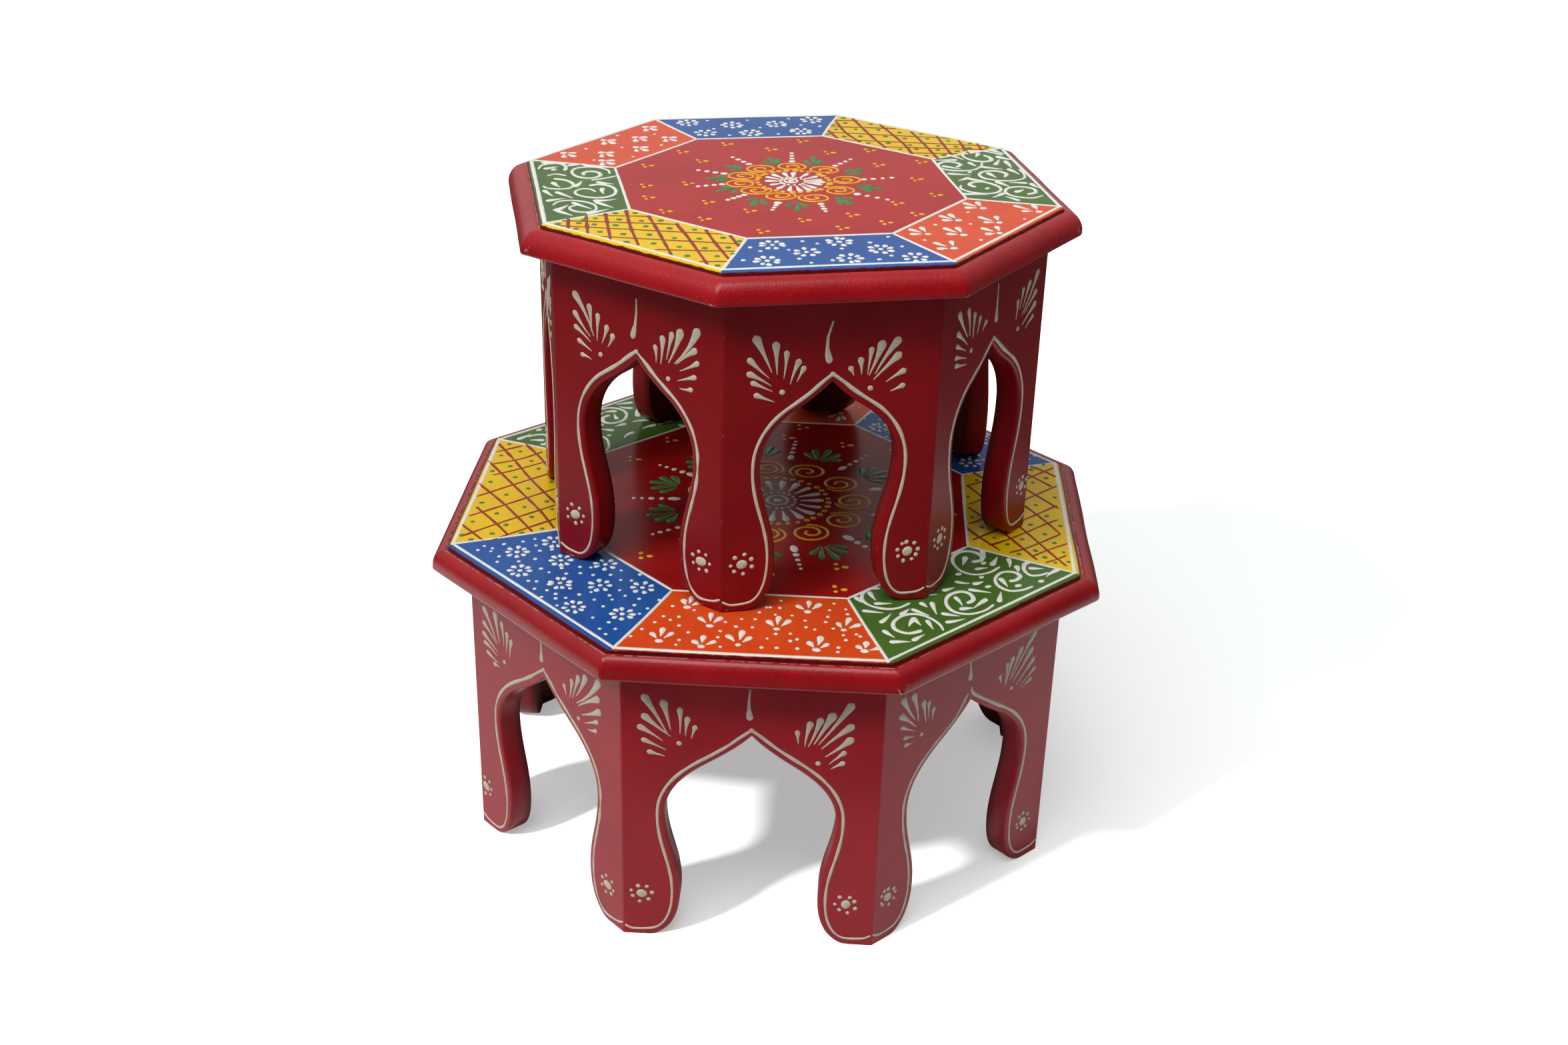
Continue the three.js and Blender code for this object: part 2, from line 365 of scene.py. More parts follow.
# a panel is a ring of rows round the wood (front face, arris, sawn wall, back, mitre)
# carried along the arch from toe to toe, with a flat foot closing each end
def makePanel(stool, number, material):
    s = panelShape
    outline = archOutline(stool)
    into = intoWood(outline)
    count = len(outline)
    middle = count // 2
    flat = flatHalf(stool)
    reach = flat + s["cornerRound"] * corner  # surface run at the mitre
    # outer boundary: up the left edge beside the leg, over the top, down the right edge
    step = np.arange(count)
    sideRows = s["archSteps"][3] + s["archSteps"][2]  # toe to waist
    bendRow = sideRows + s["archSteps"][1]            # shoulder, where the top corner is reached
    half = np.arange(middle + 1)
    heights = np.where(half <= sideRows, outline[:middle + 1, 1],
                       outline[sideRows, 1] + (s["top"] - outline[sideRows, 1])
                       * np.clip((half - sideRows) / (bendRow - sideRows), 0, 1))
    runs = -reach * (1 - np.clip((half - bendRow) / (middle - bendRow), 0, 1))
    boundary = np.stack([np.concatenate([runs, -runs[-2::-1]]),
                         np.concatenate([heights, heights[-2::-1]])], -1)
    fromToe = np.clip(np.minimum(step, count - 1 - step) / s["toeSteps"], 0, 1)
    ease = fromToe ** 2 * (3 - 2 * fromToe)
    rFront = (s["toeRound"] + (s["sawnRound"] - s["toeRound"]) * ease)[:, None]
    rBack = (s["toeBack"] + (s["backRound"] - s["toeBack"]) * ease)[:, None]
    rows = []
    wear = []
    # front face: rows inside the corner's round first, then evenly to the arris
    end = outline + into * rFront
    width = np.abs(boundary - end).max(1, keepdims=True)
    band = np.maximum(np.abs(boundary[:, :1]) - flat, s["edgeBand"]) / np.maximum(width, 3)
    band = np.minimum(band, s["bandMost"])
    for k in range(s["edgeSteps"] + s["faceSteps"] + 1):
        if k <= s["edgeSteps"]:
            share = band * k / s["edgeSteps"]
        else:
            share = band + (1 - band) * (k - s["edgeSteps"]) / s["faceSteps"]
        point = boundary + (end - boundary) * share
        rows.append(onPanel(stool, number, point[:, 0], point[:, 1], 0.0))
        onCorner = (k < s["edgeSteps"]) * (np.abs(boundary[:, 0]) > flat)
        atArris = (k == s["edgeSteps"] + s["faceSteps"]) * s["arrisWear"]
        wear.append(onCorner * (1 - k / s["edgeSteps"]) + atArris)
    for turn in np.radians((22.5, 45, 67.5, 90)):  # front arris
        point = outline + into * rFront * (1 - np.sin(turn))
        depth = rFront[:, 0] * (1 - np.cos(turn))
        rows.append(fromPanel(stool, number, point[:, 0], depth, point[:, 1]))
        wear.append(np.full(count, 1 - 0.5 * turn))
    for depth in s["wallDepths"]:  # sawn wall
        rows.append(fromPanel(stool, number, outline[:, 0], np.full(count, depth), outline[:, 1]))
        wear.append(np.zeros(count))
    for turn in np.radians((0, 45, 90)):  # back arris
        point = outline + into * rBack * (1 - np.cos(turn))
        depth = s["thickness"] - rBack[:, 0] * (1 - np.sin(turn))
        rows.append(fromPanel(stool, number, point[:, 0], depth, point[:, 1]))
        wear.append(np.full(count, s["backWear"]))
    backEdge = boundary * (halfWidth(stool, s["thickness"]) / reach, 1)
    end = outline + into * rBack
    for share in s["backShares"]:  # back face
        point = end + (backEdge - end) * share
        rows.append(fromPanel(stool, number, point[:, 0], np.full(count, s["thickness"]), point[:, 1]))
        wear.append(np.zeros(count))
    rows.append(rows[-1] + (rows[0] - rows[-1]) * 0.5)  # mitre and top edge, back to the first row
    wear.append(np.zeros(count))
    grid = np.stack(rows, 1)
    columns = grid.shape[1]
    verts = toScene(stool, grid.reshape(-1, 3))
    feet = [list(range(columns)), list(range(count * columns - 1, (count - 1) * columns - 1, -1))]
    name = f"{stool['name']}_painted_panel_{number}"
    faces = (ringFaces(count, columns), np.zeros((0, 3), int), feet)
    piece = makePiece(name, verts, faces, stool, material, 35.0, np.stack(wear, 1))
    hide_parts(f"{stool['name']}_side_panel_{number}")
    return piece


# the small stool's crimson is deeper than the large one's: the large one's is painted brighter and pinker,
# painted light for what its low panels take from the pale floor
crimson = {
    "lower": {"paint": (172, 24, 38), "deep": (140, 13, 24), "bright": (180, 31, 45), "IOR": 1.36},
    "upper": {"paint": (147, 12, 20), "deep": (114, 6, 12), "bright": (155, 17, 25), "IOR": 1.31},
    "inside": rgb(84, 8, 12), "bare": rgb(206, 150, 128),
    "insideFrom": 6, "insideTo": 13,  # how far in from the panels' fronts the darker inside begins: paint, and painted shade in the sawn walls
}


# crimson gloss over wood: brushed streaks, soft mottling, thin pale wear on arrises and feet
def crimsonPaint(stool):
    look = crimson[stool["name"]]
    f = Finish(f"{stool['name']}CrimsonPaint", stool)
    mottle = f.noise(34, 3, 0.55)
    streak = f.noise(3.4, 3, 0.6, f.stretch((1, 1, 0.07)))  # brushed up and down
    grainy = f.noise(0.8, 2, 0.5)
    even = mottle.ramp(0.3, 0.75) * 0.4 + 0.6
    colour = f.mix(even, rgb(*look["deep"]), rgb(*look["paint"]))
    colour = f.mix(streak.ramp(0.45, 0.8) * 0.14, colour, rgb(*look["bright"]))
    front = stool["panelOut"]
    # darker and duller deeper in: paint on the inside faces, and painted shade on the back of the sawn
    # walls
    insideShade = farthest(fieldSides(f)).ramp(front - crimson["insideFrom"], front - crimson["insideTo"])
    colour = f.mix(insideShade, colour, crimson["inside"])
    wear = f.attribute("edgeWear")
    chips = (f.noise(5.5, 4, 0.6) * 0.55 + f.noise(1.7, 3, 0.6) * 0.45).ramp(0.63, 0.67)
    feet = f.z.ramp(1.3, 0.2) * f.noise(2.6, 3, 0.6).ramp(0.57, 0.63)
    rubbed = (wear * chips * 0.9).most(feet * 0.85)
    colour = f.mix(rubbed, colour, crimson["bare"])
    height = streak * 0.12 + grainy * 0.25 + mottle * 1.4 - rubbed * 1.2
    rough = streak * 0.04 + mottle * 0.1 + 0.24 + rubbed * 0.3 + insideShade * 0.3
    return f.set(Base_Color=colour, Roughness=rough, Normal=f.bump(height, 0.045), IOR=look["IOR"])


# distance from the stool's axis to each pair of opposite sides, the front and back first: |y|,
# |x - y| / root 2, |x| and |x + y| / root 2
def fieldSides(f):
    root = 2 ** -0.5
    return (abs(f.y), abs(f.x - f.y) * root, abs(f.x), abs(f.x + f.y) * root)


# distance from the stool's axis towards each of the eight sides, x cos a + y sin a, less the same
# distance for a shift of the whole octagon
def towardsSides(f, shift):
    angle = facing(np.arange(8))
    offsets = shift[0] * np.cos(angle) + shift[1] * np.sin(angle)
    return [f.x * float(np.cos(a)) + f.y * float(np.sin(a)) - float(o) for a, o in zip(angle, offsets)]


# the greatest of several distances
def farthest(distances):
    most = distances[0]
    for distance in distances[1:]:
        most = most.most(distance)
    return most


# top boards
boardShape = {
    "bottom": 144.0, "top": 156.0,
    "mouldingReach": 8.4, "mouldingDrop": 9.2, "plateRise": 1.5, "plateLean": 0.45,
    "quirk": 0.35,                                     # how far the ledge is sunk under the roll
    "cornerRound": 3.2, "plateCornerRound": 1.6, "roundMost": 0.3,
    "topShares": (0.04, 0.16, 0.3, 0.44, 0.58, 0.7, 0.8, 0.88, 0.94, 0.98),
    "underShares": (0.9, 0.7, 0.45, 0.2, 0.04),
    "sideSteps": 12, "cornerSteps": 5, "mouldingSteps": 12,
    "swell": 0.0014, "uneven": 0.12,                   # waves of the hand-rubbed outline and height
    "seeds": {"lower": 11, "upper": 23},
}


# half section of the board from the seat's middle over the moulding to the underside: rows of
# (distance to a side, height, corner radius, wear). The roll is a quarter of an ellipse
def boardSection(stool):
    b = boardShape
    edge, top, low = stool["edge"], b["top"], b["bottom"]
    fine, broad, most = b["plateCornerRound"], b["cornerRound"], b["roundMost"]
    plate = edge - b["mouldingReach"] - b["plateLean"]
    foot = top - b["plateRise"]
    sunk = foot - b["quirk"]
    reach = b["mouldingReach"] - stool["ledge"]
    rows = [(share * plate, top, min(fine, share * plate * most), 0) for share in b["topShares"]]
    rows += [(plate - 0.7, top, fine, 0.2), (plate - 0.2, top - 0.15, fine, 1),
             (plate, top - 0.6, fine, 0.9), (plate + 0.25, foot + 0.2, fine, 0.2),
             (plate + b["plateLean"] - 0.15, sunk, fine, 0), (edge - reach - 0.1, sunk, fine, 0.2)]
    for turn in np.linspace(np.radians(2), np.pi / 2, b["mouldingSteps"]):
        out = edge - reach * (1 - np.sin(turn))
        down = b["mouldingDrop"] * (1 - np.cos(turn))
        rows.append((out, foot - down, broad, 0.8 * (turn < 0.1) + 0.35 * (turn > 1.2)))
    rows += [(edge, low + 0.9, broad, 0.8), (edge - 0.3, low + 0.25, broad, 1),
             (edge - 1.0, low, broad, 0.7)]
    rows += [(share * edge, low, min(broad, share * edge * most), 0) for share in b["underShares"]]
    return np.array(rows)


# the section carried round an octagon with rounded corners. A ring at distance a with corner
# radius r has its corner arcs centred on the vertices of the octagon at distance a - r
def makeBoard(stool, material):
    b = boardShape
    section = boardSection(stool)
    sides = []
    normals = []
    alongs = []
    for side in range(8):
        arc = np.linspace(0, np.pi / 4, b["cornerSteps"] + 2)[1:-1]
        normals += [np.full(b["sideSteps"], facing(side)), facing(side) + arc]
        alongs += [np.linspace(-1, 1, b["sideSteps"]), np.full(b["cornerSteps"], 1.0)]
        sides.append(np.full(b["sideSteps"] + b["cornerSteps"], facing(side)))
    normal, along, middle = (np.concatenate(parts) for parts in (normals, alongs, sides))
    a, height, radius = (section[:, i][:, None] for i in range(3))
    inner = a - radius
    across = along * inner * np.tan(corner)
    x = inner * np.cos(middle) - across * np.sin(middle) + radius * np.cos(normal)
    y = inner * np.sin(middle) + across * np.cos(middle) + radius * np.sin(normal)
    around = np.arctan2(y, x)
    seed = b["seeds"][stool["name"]]
    over = height > b["bottom"] + 0.5  # the underside stays flat and in its place
    swell = 1 + waves(around, seed, b["swell"], 3, 17) * np.clip(a / stool["edge"], 0, 1) ** 6
    uneven = waves(around, seed + 1, b["uneven"], 2, 13) * np.clip(a / stool["edge"] - 0.75, 0, 1) * 4
    follow = np.clip((stool["edge"] - a) / b["mouldingReach"], 0, 1) * over
    right, back = stool["plateShift"]
    rings = np.stack([x * swell + follow * right, y * swell + follow * back, height + uneven * over], -1)
    count = rings.shape[1]
    verts = np.concatenate([rings.reshape(-1, 3), [(0, 0, b["top"]), (0, 0, b["bottom"])]])
    j = np.arange(count)
    k = (j + 1) % count
    last = (len(section) - 1) * count
    poles = np.concatenate([np.stack([0 * j + len(verts) - 2, k, j], -1),
                            np.stack([0 * j + len(verts) - 1, last + j, last + k], -1)])
    wear = np.concatenate([np.repeat(section[:, 3], count), [0, 0]])
    name = f"{stool['name']}_moulded_top"
    faces = (ringFaces(len(section), count), poles, [])
    piece = makePiece(name, toScene(stool, verts), faces, stool, material, 32.0, wear)
    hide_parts(f"{stool['name']}_top_board")
    return piece


# the small stool's reds are brighter and its moulding has a little less gloss; the large stool's darker
# middle is painted shade, under the small stool that stands on it
boardReds = {
    "lower": {"centre": rgb(156, 22, 20), "centreDeep": rgb(146, 16, 16),
              "rim": rgb(166, 10, 23), "rimDeep": rgb(144, 6, 15), "rimCoat": 0.65},
    "upper": {"centre": rgb(177, 27, 25), "centreDeep": rgb(166, 20, 20),
              "rim": rgb(170, 11, 24), "rimDeep": rgb(148, 7, 16), "rimCoat": 0.5},
    "ledgeShade": rgb(92, 5, 9), "under": rgb(100, 10, 17), "bare": rgb(222, 176, 160),
}
fieldColours = {
    "orange": (rgb(220, 80, 30), rgb(210, 69, 24)),
    "green": (rgb(76, 112, 44), rgb(64, 98, 36)),
    "yellow": (rgb(236, 198, 14), rgb(226, 182, 8)),
    "blue": (rgb(38, 89, 160), rgb(30, 77, 148)),
}


# the painted fields: each point takes the paint of the side that it is farthest towards. Nearer the
# outer line the sides are moved out to that line, so the seams lead to its corners
def fieldPaint(f, stool, sides, mottle, streak):
    inner, line = stool["lineIn"], np.mean(stool["lineOut"])
    away = (farthest(sides) - inner) / (line - inner)
    blend = mottle.ramp(0.3, 0.7) * 0.6 + streak.ramp(0.4, 0.8) * 0.4
    coats = [f.mix(blend, fieldColours[name][1], fieldColours[name][0]) for name in stool["fields"]]
    moved = [side - away * (out - line) for side, out in zip(sides, stool["lineOut"])]
    colour, most = coats[0], moved[0]
    for i in range(1, 8):
        colour = f.mix(moved[i] > most, colour, coats[i % 4])
        most = most.most(moved[i])
    return colour


# painted fields between octagons, red centre and moulding, all under one gloss
def boardPaint(stool):
    look = boardReds | boardReds[stool["name"]]
    edge, inner = stool["edge"], stool["lineIn"]
    f = Finish(f"{stool['name']}BoardPaint", stool)
    sides = towardsSides(f, (0, 0))
    plate = edge - boardShape["mouldingReach"] - boardShape["plateLean"]
    past = farthest(towardsSides(f, stool["plateShift"])) - plate  # how far out from the plate's edge
    mottle = f.noise(30, 3, 0.55)
    fine = f.noise(1.6, 3, 0.55)
    wobble = f.noise(4.2, 2, 0.5) - 0.5
    streak = f.noise(3.0, 3, 0.6, f.stretch((1, 0.12, 1), (0, 0, 0.5)))
    peel = f.noise(1.1, 2, 0.5)  # orange peel of the brushed rim
    patchy = mottle.ramp(0.3, 0.7)
    # on the large stool these middle reds carry painted shade from the small stool above
    centre = f.mix(patchy, look["centreDeep"], look["centre"])
    outside = (farthest(sides) + wobble * 0.7).ramp(inner - 0.3, inner + 0.3)
    colour = f.mix(outside, centre, fieldPaint(f, stool, sides, mottle, streak))
    rim = f.mix(patchy * 0.7 + fine.ramp(0.3, 0.8) * 0.3, look["rimDeep"], look["rim"])
    # the plate's riser and the ledge below it are painted dark: painted shade in the crease between plate
    # and roll
    ledge = (past + wobble * 0.5).ramp(stool["ledge"] + 0.25, stool["ledge"] - 0.2)
    rim = f.mix(ledge * 0.92, rim, look["ledgeShade"])
    # a pale dashed line where the roll begins, with the wear on the roll's first row: partly wear, partly a
    # painted highlight on the arris
    arris = (1 - abs(past - stool["ledge"] - 0.35 + wobble * 0.3) / 0.45).most(0)
    rim = f.mix(arris * f.noise(3.2, 3, 0.6).ramp(0.42, 0.55) * 0.5, rim, look["bare"])
    off = (past + wobble * 0.9).ramp(0.1, 0.3).most((f.z + wobble * 1.2).ramp(155.75, 155.5))
    colour = f.mix(off, colour, rim)
    pairs = fieldSides(f)
    atCorner = (pairs[0].most(pairs[2]) + pairs[1].most(pairs[3])).ramp(edge * 1.92, edge * 1.99)
    chips = (f.noise(7, 4, 0.6) * 0.5 + f.noise(1.6, 3, 0.6) * 0.5 + atCorner * 0.09).ramp(0.645, 0.675)
    rubbed = f.attribute("edgeWear") * chips * (0.35 + atCorner * 0.6)
    colour = f.mix(rubbed, colour, look["bare"])
    colour = f.mix(f.z.ramp(144.6, 144.2), colour, look["under"])
    height = peel * (off * 3.2 + 0.02) + fine * (off * 0.5 + 0.05) + mottle * 0.8 + streak * 0.08
    rough = mottle * 0.08 + fine * 0.06 + 0.14 + off * 0.12
    return f.set(Base_Color=colour, Roughness=rough, Normal=f.bump(height, 0.07), IOR=1.26,
                 Coat_Weight=off * look["rimCoat"], Coat_Roughness=0.26, Coat_IOR=1.45)


print("making panels and boards")
for stool in stools:
    panelMaterial = crimsonPaint(stool)
    for number in range(1, 9):
        makePanel(stool, number, panelMaterial)
    makeBoard(stool, boardPaint(stool))


# raised brushwork
brush = {
    "across": np.array([-1, -0.74, 0, 0.74, 1, 0]),  # a stroke's section, in half widths
    "up": np.array([0, 0.62, 1, 0.62, 0, 0]),        # and in its height
    "sink": 0.12,                                    # mm of it under the surface
    "poleOut": 0.5, "poleHigh": 0.2,                 # the poles at its ends, in half widths and heights
    "endRun": 0.35, "endMost": 0.1,                  # a line's round ends: half widths, share of its run
    "endWidths": (0.45, 0.8), "wave": 9,             # how wide they are; mm in a radian of its waves
    "fullHalf": 0.5,                                 # half width from which a line has its whole height
    "dropRadii": (0.88, 1.12), "dropStray": 0.035,   # how far the hand strays
    "dotRadii": (0.85, 1.15), "dotStray": 0.05,
    "dotSides": 10,
    "dotRings": ((1.0, 0.84, 0.45), (0.55, 0.92)),   # radii of a dot's rings, heights of the upper two
    # a drop's stations: place and half width of the bulb's in radii, then of the tail's, with places
    # as shares of its length
    "bulb": ((-0.97, 0.24), (-0.8, 0.6), (-0.4, 0.92), (0.1, 0.995)),
    "full": ((0.22, 0.92), (0.45, 0.7), (0.72, 0.42), (1.0, 0.18)),
    "slim": ((0.22, 0.66), (0.45, 0.42), (0.72, 0.28), (1.0, 0.15)),
    "drip": ((0.13, 0.85), (0.3, 0.52), (0.6, 0.37), (1.0, 0.3)),
    "dropHeights": np.array([0.4, 0.75, 0.95, 1.0, 0.95, 0.78, 0.58, 0.35]),
}


# closed solids from rows of points (solid, row, column): each row joined to the next, and a pole
# joined to the first and to the last row, faces outwards
def closeRows(walls, firstPole, lastPole):
    count, rows, columns = walls.shape[:3]
    block = rows * columns + 2
    verts = np.concatenate([walls.reshape(count, -1, 3), firstPole[:, None], lastPole[:, None]], 1)
    j = np.arange(columns)
    k = (j + 1) % columns
    quads = ringFaces(rows, columns)
    last = block - 2 - columns
    ends = np.concatenate([np.stack([0 * j + block - 2, k, j], -1),
                           np.stack([0 * j + block - 1, last + j, last + k], -1)])
    if signedVolume(verts[0], (quads, ends)) < 0:
        quads, ends = quads[:, ::-1], ends[:, ::-1]
    step = (np.arange(count) * block)[:, None, None]
    return verts.reshape(-1, 3), (quads + step).reshape(-1, 4), (ends + step).reshape(-1, 3)


# several sets of closed solids as one: each set's faces count on from the vertices before it
def gather(parts):
    verts, quads, triangles, done = [], [], [], 0
    for part in parts:
        verts.append(part[0])
        quads.append(part[1] + done)
        triangles.append(part[2] + done)
        done += len(part[0])
    return np.concatenate(verts), np.concatenate(quads), np.concatenate(triangles)


# strokes: a flattened dome carried along centre lines, square to the way that they run, with a low
# pole half a width beyond each end. line (n, stations, 2), half widths and heights (n, stations)
def sweep(line, half, high):
    along = np.gradient(line, axis=1)
    along /= np.maximum(np.linalg.norm(along, axis=2, keepdims=True), 1e-9)
    side = np.stack([-along[..., 1], along[..., 0]], -1)
    flat = line[:, :, None] + side[:, :, None] * (half[..., None] * brush["across"])[..., None]
    lift = high[..., None] * brush["up"] - brush["sink"] * (brush["up"] == 0)
    walls = np.concatenate([flat, lift[..., None]], -1)
    out, low = brush["poleOut"], brush["poleHigh"]
    first = np.concatenate([line[:, 0] - along[:, 0] * half[:, :1] * out, high[:, :1] * low], -1)
    last = np.concatenate([line[:, -1] + along[:, -1] * half[:, -1:] * out, high[:, -1:] * low], -1)
    return closeRows(walls, first, last)


# drops: a round bulb at one end, the tail thinning and bowing to the other by a parabola,
# 4 s (1 - s) times the bow. Half width: a circle's chord over the bulb, then falling to the tail's
def drops(bulbs, tips, radius, seed, tail=0.26, high=0.32, taper="full", bow=0.0):
    rng = np.random.default_rng(seed)
    bulbs, tips = np.array(bulbs, float), np.array(tips, float)
    count = len(bulbs)
    radius = (np.zeros(count) + radius) * rng.uniform(*brush["dropRadii"], count)
    axis = tips - bulbs
    length = np.linalg.norm(axis, axis=1, keepdims=True)
    axis = axis / length
    side = np.stack([-axis[:, 1], axis[:, 0]], -1)
    bulb, ahead = np.array(brush["bulb"]), np.array(brush[taper])
    distance = np.concatenate([bulb[:, 0] * radius[:, None], ahead[:, 0] * length], 1)
    share = np.clip(distance / length, 0, 1)
    bend = (bow + rng.normal(0, brush["dropStray"], (count, 1)) * length) * 4 * share * (1 - share)
    line = bulbs[:, None] + axis[:, None] * distance[..., None] + side[:, None] * bend[..., None]
    half = np.concatenate([bulb[:, 1], ahead[:, 1]]) * radius[:, None]
    half = np.maximum(half, tail * np.array([0, 0, 0, 0, 1, 1, 1, 0.8]))
    return sweep(line, half, high * brush["dropHeights"] + 0 * half)


# dots: a dome on an uneven ellipse, (cos a, sin a) times the radius, in rings at falling distance
# from the middle with a pole on top
def dots(centres, radius, seed, high=0.3, stretch=1.0, turn=0.0):
    rng = np.random.default_rng(seed)
    centres = np.array(centres, float)
    count = len(centres)
    radius = (np.zeros(count) + radius) * rng.uniform(*brush["dotRadii"], count)
    angle = np.linspace(0, 2 * np.pi, brush["dotSides"], endpoint=False)
    stray = rng.normal(0, brush["dotStray"], (count, 1))
    uneven = 1 + stray * np.cos(2 * angle + rng.uniform(0, 6, (count, 1)))
    x = np.cos(angle) * uneven * radius[:, None] * stretch
    y = np.sin(angle) * uneven * radius[:, None]
    turn = (np.zeros(count) + turn)[:, None]
    outline = np.stack([x * np.cos(turn) - y * np.sin(turn), x * np.sin(turn) + y * np.cos(turn)], -1)
    shares, heights = (np.array(values)[:, None] for values in brush["dotRings"])
    flat = centres[:, None, None] + outline[:, None] * shares[..., None]
    lift = np.concatenate([[[-brush["sink"]]], heights * high]) + 0 * flat[..., 0]
    walls = np.concatenate([flat, lift[..., None]], -1)
    low = np.concatenate([centres, np.full((count, 1), -brush["sink"])], 1)
    return closeRows(walls, low, low * (1, 1, 0) + (0, 0, high))


# points at distance 1 in the ways that the angles give: (cos a, sin a)
def rays(angle):
    return np.stack([np.cos(angle), np.sin(angle)], -1)


# smooth curve through the given rows (Catmull-Rom): between rows b and c it is the cubic whose slopes
# there are (c - a) / 2 and (d - b) / 2
def through(rows, steps):
    p = np.array(rows, float)
    p = np.concatenate([[2 * p[0] - p[1]], p, [2 * p[-1] - p[-2]]])
    t = np.linspace(0, len(rows) - 1, steps)
    i = np.minimum(t.astype(int), len(rows) - 2)
    u = (t - i)[:, None]
    a, b, c, d = (p[i + n] for n in range(4))
    return b + u / 2 * (c - a + u * (2 * a - 5 * b + 4 * c - d + u * (3 * (b - c) + d - a)))


# one long brush line through given points, sampled evenly along its run. The width goes evenly
# from one end to the other, swells and thins in waves and is rounded off at both ends
def brushLine(rows, startHalf, endHalf, seed, high, spacing, uneven):
    rough = through(rows, len(rows) * 12)
    run = np.concatenate([[0], np.cumsum(np.linalg.norm(np.diff(rough, axis=0), axis=1))])
    length = run[-1]
    steps = max(int(length / spacing), 6)
    ends = min(brush["endRun"] * max(startHalf, endHalf) / length, brush["endMost"])
    share = np.concatenate([[0, ends], np.linspace(0, 1, steps)[1:-1], [1 - ends, 1]])
    line = np.stack([np.interp(share * length, run, rough[:, i]) for i in range(2)], -1)
    half = startHalf + (endHalf - startHalf) * share
    half = half * (1 + waves(share * length / brush["wave"], seed, uneven, 1, 6))
    half[[0, -1]] *= brush["endWidths"][0]
    half[[1, -2]] *= brush["endWidths"][1]
    height = high * np.minimum(1, half / brush["fullHalf"])
    return sweep(line[None], half[None], height[None])


# one piece of relief paint: strokes worked out flat (x, y, lift), then laid on a surface by place
def addBrushwork(name, stool, place, paint, parts):
    verts, quads, triangles = gather(parts)
    points = toScene(stool, place(verts[:, 0], verts[:, 1], verts[:, 2]))
    faces = (quads, triangles, [])
    makePiece(f"{stool['name']}_{name}", points, faces, stool, reliefs[paint], 75.0)


# brushwork on the plate: lift counts up from its height
def addOnTop(name, stool, paint, parts):
    addBrushwork(name, stool, lambda x, y, lift: np.stack([x, y, boardShape["top"] + lift], -1),
                 paint, parts)


# brushwork on a panel, all of it in the panels' darker cream, a painted shade: lift counts out from the
# panel's surface
def addOnPanel(name, stool, number, parts):
    addBrushwork(f"{name}_{number}", stool, lambda x, z, lift: onPanel(stool, number, x, z, lift),
                 "shadedCream", parts)


# thick relief paint: a little thinner and dirtier in places, soft gloss
def reliefPaint(name, colour, thin):
    f = Finish(f"{name}Relief")
    blotch = f.noise(2.2, 3, 0.6)
    fine = f.noise(0.7, 2, 0.5)
    shaded = f.mix((blotch * 0.65 + fine * 0.35).ramp(0.34, 0.56), thin, colour)
    return f.set(Base_Color=shaded, Roughness=fine * 0.2 + 0.2,
                 Normal=f.bump(blotch * 0.6 + fine * 0.4, 0.03), IOR=1.38)


# the panels' cream is the seat's cream made darker and warmer: painted shade for the upright panels, which
# take less light
reliefColours = {
    "cream": ((233, 233, 226), (220, 218, 208)), "shadedCream": ((215, 207, 188), (200, 191, 170)),
    "gold": ((238, 178, 26), (222, 152, 18)), "leaf": ((42, 136, 70), (34, 112, 56)),
    "moss": ((66, 132, 46), (52, 108, 36)), "russet": ((142, 38, 21), (122, 30, 15)),
}
reliefs = {name: reliefPaint(name, rgb(*full), rgb(*thin)) for name, (full, thin) in reliefColours.items()}

# cream lines round the middle, round the fields and between them
fieldLines = {
    "half": 0.78, "outerHalf": 0.9, "high": 0.24, "spacing": 2.5,
    "sag": 0.3, "lean": 0.3, "uneven": 0.06,  # how far the hand strays
}


# where the line along a side meets the line of the side after it: distances d1 and d2 from the
# middle, the second side turned by 45 degrees, so the meeting point is (d2 - d1 cos 45) / sin 45 along
def meeting(side, distances):
    first, second = distances[side % 8], distances[(side + 1) % 8]
    turn = 2 * corner
    out = np.array([np.cos(facing(side)), np.sin(facing(side))])
    return out * first + np.array([-out[1], out[0]]) * (second - first * np.cos(turn)) / np.sin(turn)


# each line runs from corner to corner with its middle a little out of true
def addFieldLines(stool):
    line = fieldLines
    brushing = (line["high"], line["spacing"], line["uneven"])
    rng = np.random.default_rng(int(stool["panelOut"]))
    inner = [meeting(side, np.full(8, stool["lineIn"])) for side in range(8)]
    outer = [meeting(side, stool["lineOut"]) for side in range(8)]
    parts = [dots(outer, line["outerHalf"] * 1.3, 5, line["high"] * 1.1)]  # strokes overlap at the corners
    for side in range(8):
        for corners, half in ((inner, line["half"]), (outer, line["outerHalf"])):
            a, b = corners[side - 1], corners[side]
            middle = (a + b) / 2 * (1 + rng.normal(0, line["sag"]) / stool["edge"])
            start, end = half * rng.uniform(0.9, 1.15), half * rng.uniform(0.9, 1.15)
            parts.append(brushLine([a, middle, b], start, end, side, *brushing))
        a, b = inner[side], outer[side]
        middle = (a + b) / 2 + rng.normal(0, line["lean"], 2)
        parts.append(brushLine([a, middle, b], line["half"], line["half"] * 1.1, side + 20, *brushing))
    addOnTop("field_lines", stool, "cream", parts)


archLine = {
    "gap": 3.4, "stray": 0.35, "half": 0.78, "high": 0.32, "spacing": 1.8, "uneven": 0.16,
    "apexDrop": 1.2, "edgeGap": 0.6, "widths": (0.7, 1.1),
    "footRise": 4.6, "footAcross": 3.5, "footLean": 0.9,  # how it starts from the foot's corner
    "missed": {-1: [(-3.3, 113.9)], 1: [(0.3, 112.2), (-1.6, 116.4)]},  # ends of two strokes that miss
}


